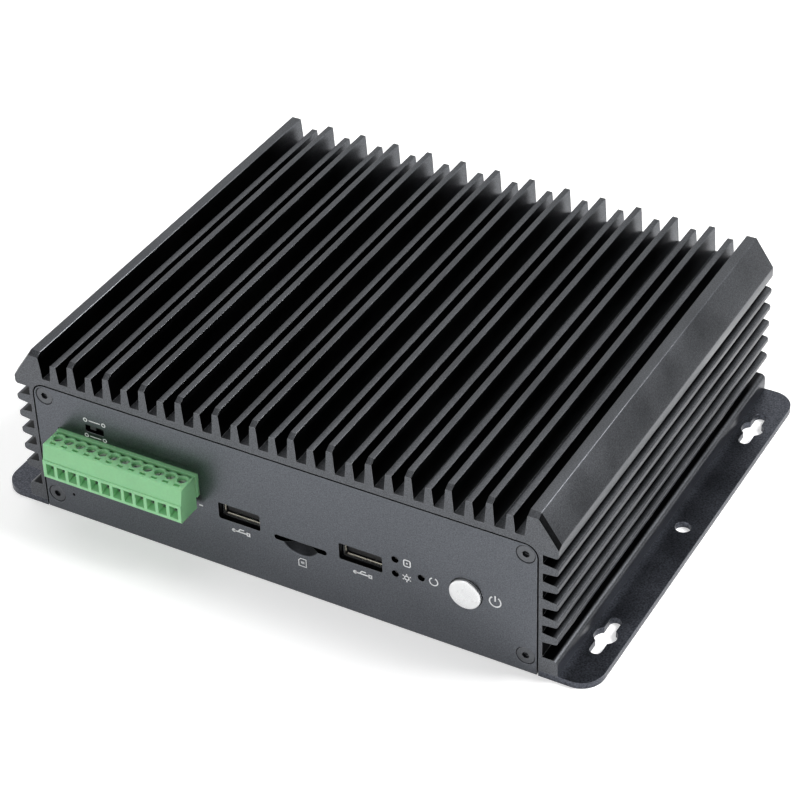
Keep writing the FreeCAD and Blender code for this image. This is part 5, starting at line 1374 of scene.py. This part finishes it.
@dataclass
class Contacts:
    """Contact strips, leaf springs and lips with a painted glint in the sockets, made by one tree.
    Millimetres.
    """

    usb_contact: Strips = Strips(4, 2.5, 1.0, 7.0, 0.1, 0.16)
    usb_spring: Strips = Strips(2, 5.6, 1.5, 5.0, 0.14, 0.32)
    floor_lip: Strips = Strips(1, 1.0, 11.7, 0.3, 0.1, 0.12)
    side_lip: Strips = Strips(1, 1.0, 2.6, 0.3, 0.1, 0.12)
    network_contact: Strips = Strips(8, 1.02, 0.5, 8.0, 0.16, 1.1)
    display_contact: Strips = Strips(10, 1.0, 0.45, 4.6, 0.08, 0.03)
    usb_centre: float = 2.85           # the socket's middle above its shell's underside
    contact_at: Pair = (5.4, 0.24)     # depth behind the mouth and height above the middle, as in the next
    floor_at: Pair = (3.6, -2.5)
    roof_at: Pair = (3.6, 2.52)
    floor_lip_at: Pair = (0.75, -2.45)
    side_lip_at: Pair = (0.75, -0.5)
    network_at: Pair = (5.5, 4.3)
    display_at: Pair = (3.4, -1.2)
    lip_shift: float = 0.25            # across from the middle
    wall_shift: float = -6.2
    steps: int = 10                    # lengths in a strip's bend

    def tree(self) -> bpy.types.NodeTree:
        """A bent strip on a row, and the row at each place.

        Returns:
            The tree.
        """
        form = Form("Contact row", lengths(Strips), ("Count",), ("Facing",))
        given = form.given
        point = form.math("DIVIDE", form.index(), float(self.steps))
        arch = form.math("SINE", form.times(point, math.pi))
        line = form.add("GeometryNodeCurvePrimitiveLine").outputs[0]
        line = form.add("GeometryNodeResampleCurve", {"Curve": line, "Count": self.steps + 1}).outputs[0]
        place = form.vector(0.0, form.times(form.less(point, 0.5), given["Length"]),
                            form.times(arch, given["Rise"]))
        line = form.placed(line, place)
        line = form.add("GeometryNodeSetCurveNormal", {"Curve": line}, mode="Z_UP").outputs[0]
        section = form.add("GeometryNodeCurvePrimitiveQuadrilateral", {
            "Width": given["Width"], "Height": given["Thickness"]}).outputs[0]
        strip = form.add("GeometryNodeCurveToMesh", {"Curve": line, "Profile Curve": section,
                                                     "Fill Caps": True}).outputs[0]
        back = form.times(form.less(given["Count"], 1.0), -0.5)
        row = form.row(given["Count"], form.vector(form.times(back, given["Pitch"])), given["Pitch"])
        form.end(form.repeated(form.repeated(strip, row), given["Places"], given["Facing"]))
        return form.tree

    def usb_rows(self, label: str, end: int, names: Sequence[str]) -> Iterator[Row]:
        """What stands in the USB sockets of one end.

        Args:
            label: front or rear.
            end: -1 for the front and 1 for the rear.
            names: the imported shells.

        Yields:
            Each piece: its name, strips, places, turn about Y, slot and the finish that isn't its slot's own.
        """
        middles = []
        for name in names:
            low, high = (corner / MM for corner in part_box(name))
            tongue = [corner.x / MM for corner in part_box(name.replace("shell", "tongue"))]
            centre = low.z + self.usb_centre if end < 0 else (low.z + high.z) / 2
            middles.append((sum(tongue) / 2, low.y if end < 0 else high.y, centre))
        for name, strips, aside, (depth, rise), turn, slot, finish in (
                ("contacts", self.usb_contact, 0.0, self.contact_at, 0.0, "clamp_metal", ""),
                ("floor_lips", self.floor_lip, self.lip_shift, self.floor_lip_at, 0.0, "clamp_metal", "lip"),
                ("side_lips", self.side_lip, self.wall_shift, self.side_lip_at, math.pi / 2, "clamp_metal",
                 "lip"),
                ("floor_springs", self.usb_spring, 0.0, self.floor_at, 0.0, "socket_shell", ""),
                ("roof_springs", self.usb_spring, 0.0, self.roof_at, math.pi, "socket_shell", "")):
            places = [(x + aside, mouth - end * depth, centre + rise) for x, mouth, centre in middles]
            yield f"usb_{label}_{name}", strips, places, turn, slot, finish

    def other_rows(self) -> Iterator[Row]:
        """What stands in the network and display sockets.

        Yields:
            Each piece, as usb_rows gives it.
        """
        for name, nodes, strips, turn, (depth, rise) in (
                ("network_contacts", ("lan_socket_left", "lan_socket_right"), self.network_contact, math.pi,
                 self.network_at),
                ("display_contacts", ("display_tongue",), self.display_contact, 0.0, self.display_at)):
            places = []
            for node in nodes:
                low, high = (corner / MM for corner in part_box(node))
                level = high.z if node == "display_tongue" else (low.z + high.z) / 2
                places.append(((low.x + high.x) / 2, high.y - depth, level + rise))
            yield name, strips, places, turn, "clamp_metal", ""

    def build(self, finishes: dict[str, bpy.types.Material]) -> list[bpy.types.Object]:
        """Fill the sockets.

        Args:
            finishes: a material for each slot.

        Returns:
            The pieces made.
        """
        tree, pieces = self.tree(), []
        # the lips get a painted glint: a near-white matt colour in place of metal
        special = {"lip": LIP_PAINTED_GLINT.build()}
        rows = [*self.usb_rows("front", -1, ("usb_shell_left", "usb_shell_right")),
                *self.usb_rows("rear", 1, ("usb_rear_shell_left", "usb_rear_shell_right")),
                *self.other_rows()]
        for name, strips, places, turn, slot, finish in rows:
            mesh = grown(tree, special.get(finish, finishes[slot]), places, facing=(0.0, turn, 0.0),
                         **vars(strips))
            pieces.append(settled(name, mesh, "root", slot))
        return pieces


# ---------------------------------------------------------------- network link lamps
@dataclass
class LinkLamps:
    """The two small light windows under each network socket's mouth. Millimetres."""

    width: float = 2.6
    height: float = 1.5
    proud: float = 0.12
    aside: float = 5.9
    below: float = 5.4
    sunk: float = 0.4              # how far the windows reach into the socket
    edge: float = 0.1

    def build(self, finishes: dict[str, bpy.types.Material]) -> list[bpy.types.Object]:
        """Make the windows, each a small bevelled block.

        Args:
            finishes: a material for each slot.

        Returns:
            The pieces made.
        """
        shape = bmesh.new()
        for side in ("left", "right"):
            low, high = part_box("lan_socket_" + side)
            middle, face = (low + high) / 2 / MM, high.y / MM
            for sign in (-1, 1):
                place = Matrix.Translation((middle.x + sign * self.aside, face + (self.proud - self.sunk) / 2,
                                            middle.z - self.below))
                size = Matrix.Diagonal((self.width, self.proud + self.sunk, self.height, 1.0))
                bmesh.ops.create_cube(shape, size=1.0, matrix=place @ size)
        bmesh.ops.bevel(shape, geom=list(shape.edges), offset=self.edge, segments=2, profile=0.5,
                        affect="EDGES")
        mesh = meshed(shape, LINK_LENS.build())
        return [settled("network_link_lamps", mesh, "root", "lamp_plastic")]


# ---------------------------------------------------------------- stage
@dataclass(frozen=True)
class SoftLamp:
    """One soft rectangular lamp that points at the object: metres and watts."""

    name: str
    place: Place
    size: Pair
    power: float

    def build(self, aim: Vector) -> None:
        """Hang the lamp.

        Args:
            aim: the point that it faces.
        """
        data = bpy.data.lights.new(self.name, "AREA")
        data.shape = "RECTANGLE"
        data.size, data.size_y = self.size
        data.energy = self.power
        lamp = bpy.data.objects.new(self.name, data)
        bpy.context.scene.collection.objects.link(lamp)
        lamp.location = self.place
        lamp.rotation_euler = (Vector(self.place) - aim).to_track_quat("Z", "Y").to_euler()


@dataclass
class Studio:
    """Camera, lamps, surroundings and floor."""

    aim: Place = (7.80 * MM, -12.51 * MM, 33.25 * MM)
    distance: float = 725.88 * MM
    azimuth: float = 29.872
    elevation: float = 36.381
    roll: float = -1.8516
    lens: float = 112.81
    shift: Pair = (-0.00774, -0.01819)
    clip: Pair = (0.05, 50.0)
    lamps: tuple[SoftLamp, ...] = (
        SoftLamp("overhead", (-0.3, 0.3, 1.6), (1.2, 1.2), 9.0),
        SoftLamp("right", (0.9, 0.45, 1.1), (0.6, 0.6), 22.0),
        SoftLamp("front", (-0.5, -1.5, 0.8), (1.0, 0.8), 5.0))
    ambient: float = 0.30
    gloss_level: float = 0.80
    flag_direction: Place = (0.93, 0.22, 0.28)
    flag_edge: float = 0.60        # cosine at which the dark flag on the right begins
    flag_level: float = 0.12
    floor_size: float = 8.0
    floor_drop: float = 0.05 * MM
    floor_tone: float = 0.82
    floor_glow: float = 0.45

    def camera(self) -> None:
        """Place the camera at its viewing angle."""
        turn, rise = math.radians(self.azimuth), math.radians(self.elevation)
        away = Vector((math.sin(turn) * math.cos(rise), -math.cos(turn) * math.cos(rise), math.sin(rise)))
        data = bpy.data.cameras.new("camera")
        data.lens = self.lens
        data.sensor_width = 36.0
        data.shift_x, data.shift_y = self.shift
        data.clip_start, data.clip_end = self.clip
        eye = bpy.data.objects.new("camera", data)
        bpy.context.scene.collection.objects.link(eye)
        look = away.to_track_quat("Z", "Y").to_matrix().to_4x4()
        spin = Matrix.Rotation(math.radians(self.roll), 4, "Z")
        eye.matrix_world = Matrix.Translation(Vector(self.aim) + away * self.distance) @ look @ spin
        bpy.context.scene.camera = eye

    def world(self) -> None:
        """White to the eye and in reflections of the surroundings, and a plain grey light on the object."""
        world = bpy.data.worlds.new("studio")
        bpy.context.scene.world = world
        world.use_nodes = True
        hand = Tree(world.node_tree)
        world.node_tree.nodes.clear()
        path = hand.add("ShaderNodeLightPath")
        direction = hand.add("ShaderNodeTexCoord").outputs["Generated"]
        toward = hand.add("ShaderNodeVectorMath", {0: direction, 1: self.flag_direction},
                          operation="DOT_PRODUCT").outputs["Value"]
        flag = hand.ramp(toward, self.flag_edge, 1.0, 1.0, self.flag_level, "SMOOTHSTEP")
        seen = hand.math("MAXIMUM", path.outputs["Is Camera Ray"], path.outputs["Is Transmission Ray"])
        level = hand.math("MULTIPLY_ADD", path.outputs["Is Glossy Ray"], self.gloss_level - self.ambient,
                          self.ambient)
        soft = hand.add("ShaderNodeBackground", {"Color": (1.0, 1.0, 1.0, 1.0),
                                                 "Strength": hand.times(level, flag)})
        white = hand.add("ShaderNodeBackground", {"Color": (1.0, 1.0, 1.0, 1.0), "Strength": 1.0})
        mix = hand.add("ShaderNodeMixShader", {0: seen, 1: soft.outputs[0], 2: white.outputs[0]})
        hand.add("ShaderNodeOutputWorld", {"Surface": mix.outputs[0]})

    def floor(self) -> None:
        """A pale floor that keeps the object's shadow and is white away from it."""
        mesh = bpy.data.meshes.new("floor")
        half, low = self.floor_size / 2, -self.floor_drop
        corners = [(-half, -half, low), (half, -half, low), (half, half, low), (-half, half, low)]
        mesh.from_pydata(corners, [], [(0, 1, 2, 3)])
        floor = bpy.data.objects.new("floor", mesh)
        bpy.context.scene.collection.objects.link(floor)
        material = bpy.data.materials.new("pale_floor")
        material.use_nodes = True
        hand = Tree(material.node_tree)
        material.node_tree.nodes.clear()
        path = hand.add("ShaderNodeLightPath")
        paint = hand.add("ShaderNodeBsdfDiffuse", {"Color": (*[self.floor_tone] * 3, 1.0)})
        glow = hand.add("ShaderNodeEmission", {"Color": (1.0, 1.0, 1.0, 1.0)})
        seen = hand.math("MAXIMUM", path.outputs["Is Camera Ray"], path.outputs["Is Glossy Ray"])
        hand.feed(glow, "Strength", hand.times(seen, self.floor_glow))
        both = hand.add("ShaderNodeAddShader", {0: paint.outputs[0], 1: glow.outputs[0]})
        hand.add("ShaderNodeOutputMaterial", {"Surface": both.outputs[0]})
        mesh.materials.append(material)

    def build(self) -> None:
        """Set up the whole stage."""
        self.camera()
        for lamp in self.lamps:
            lamp.build(Vector(self.aim))
        self.world()
        self.floor()
        bpy.context.scene.view_settings.view_transform = "Standard"


ASSEMBLIES = (FinnedHousing, Fasteners, TerminalBlock, PrintedMarks, PowerButton, Contacts, LinkLamps)


# ---------------------------------------------------------------- the whole
def dress_nodes(finishes: dict[str, bpy.types.Material]) -> None:
    """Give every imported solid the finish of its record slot.

    Args:
        finishes: a material for each slot.
    """
    for row in frame["record"]["subparts"]:
        node = frame["nodes"][row["node"]]
        node.data.materials.clear()
        node.data.materials.append(finishes[row["material_slot"]])


def main() -> None:
    """Build the object piece by piece and set the stage."""
    logging.basicConfig(level=logging.INFO, format="%(name)s: %(message)s")
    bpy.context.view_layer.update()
    finishes = {slot: finish.build() for slot, finish in FINISHES.items()}
    dress_nodes(finishes)
    for assembly in ASSEMBLIES:
        for piece in assembly().build(finishes):
            LOG.info("%s: %s, %d faces", assembly.__name__, piece.name, len(piece.data.polygons))
    Studio().build()


if __name__ == "__main__":
    main()
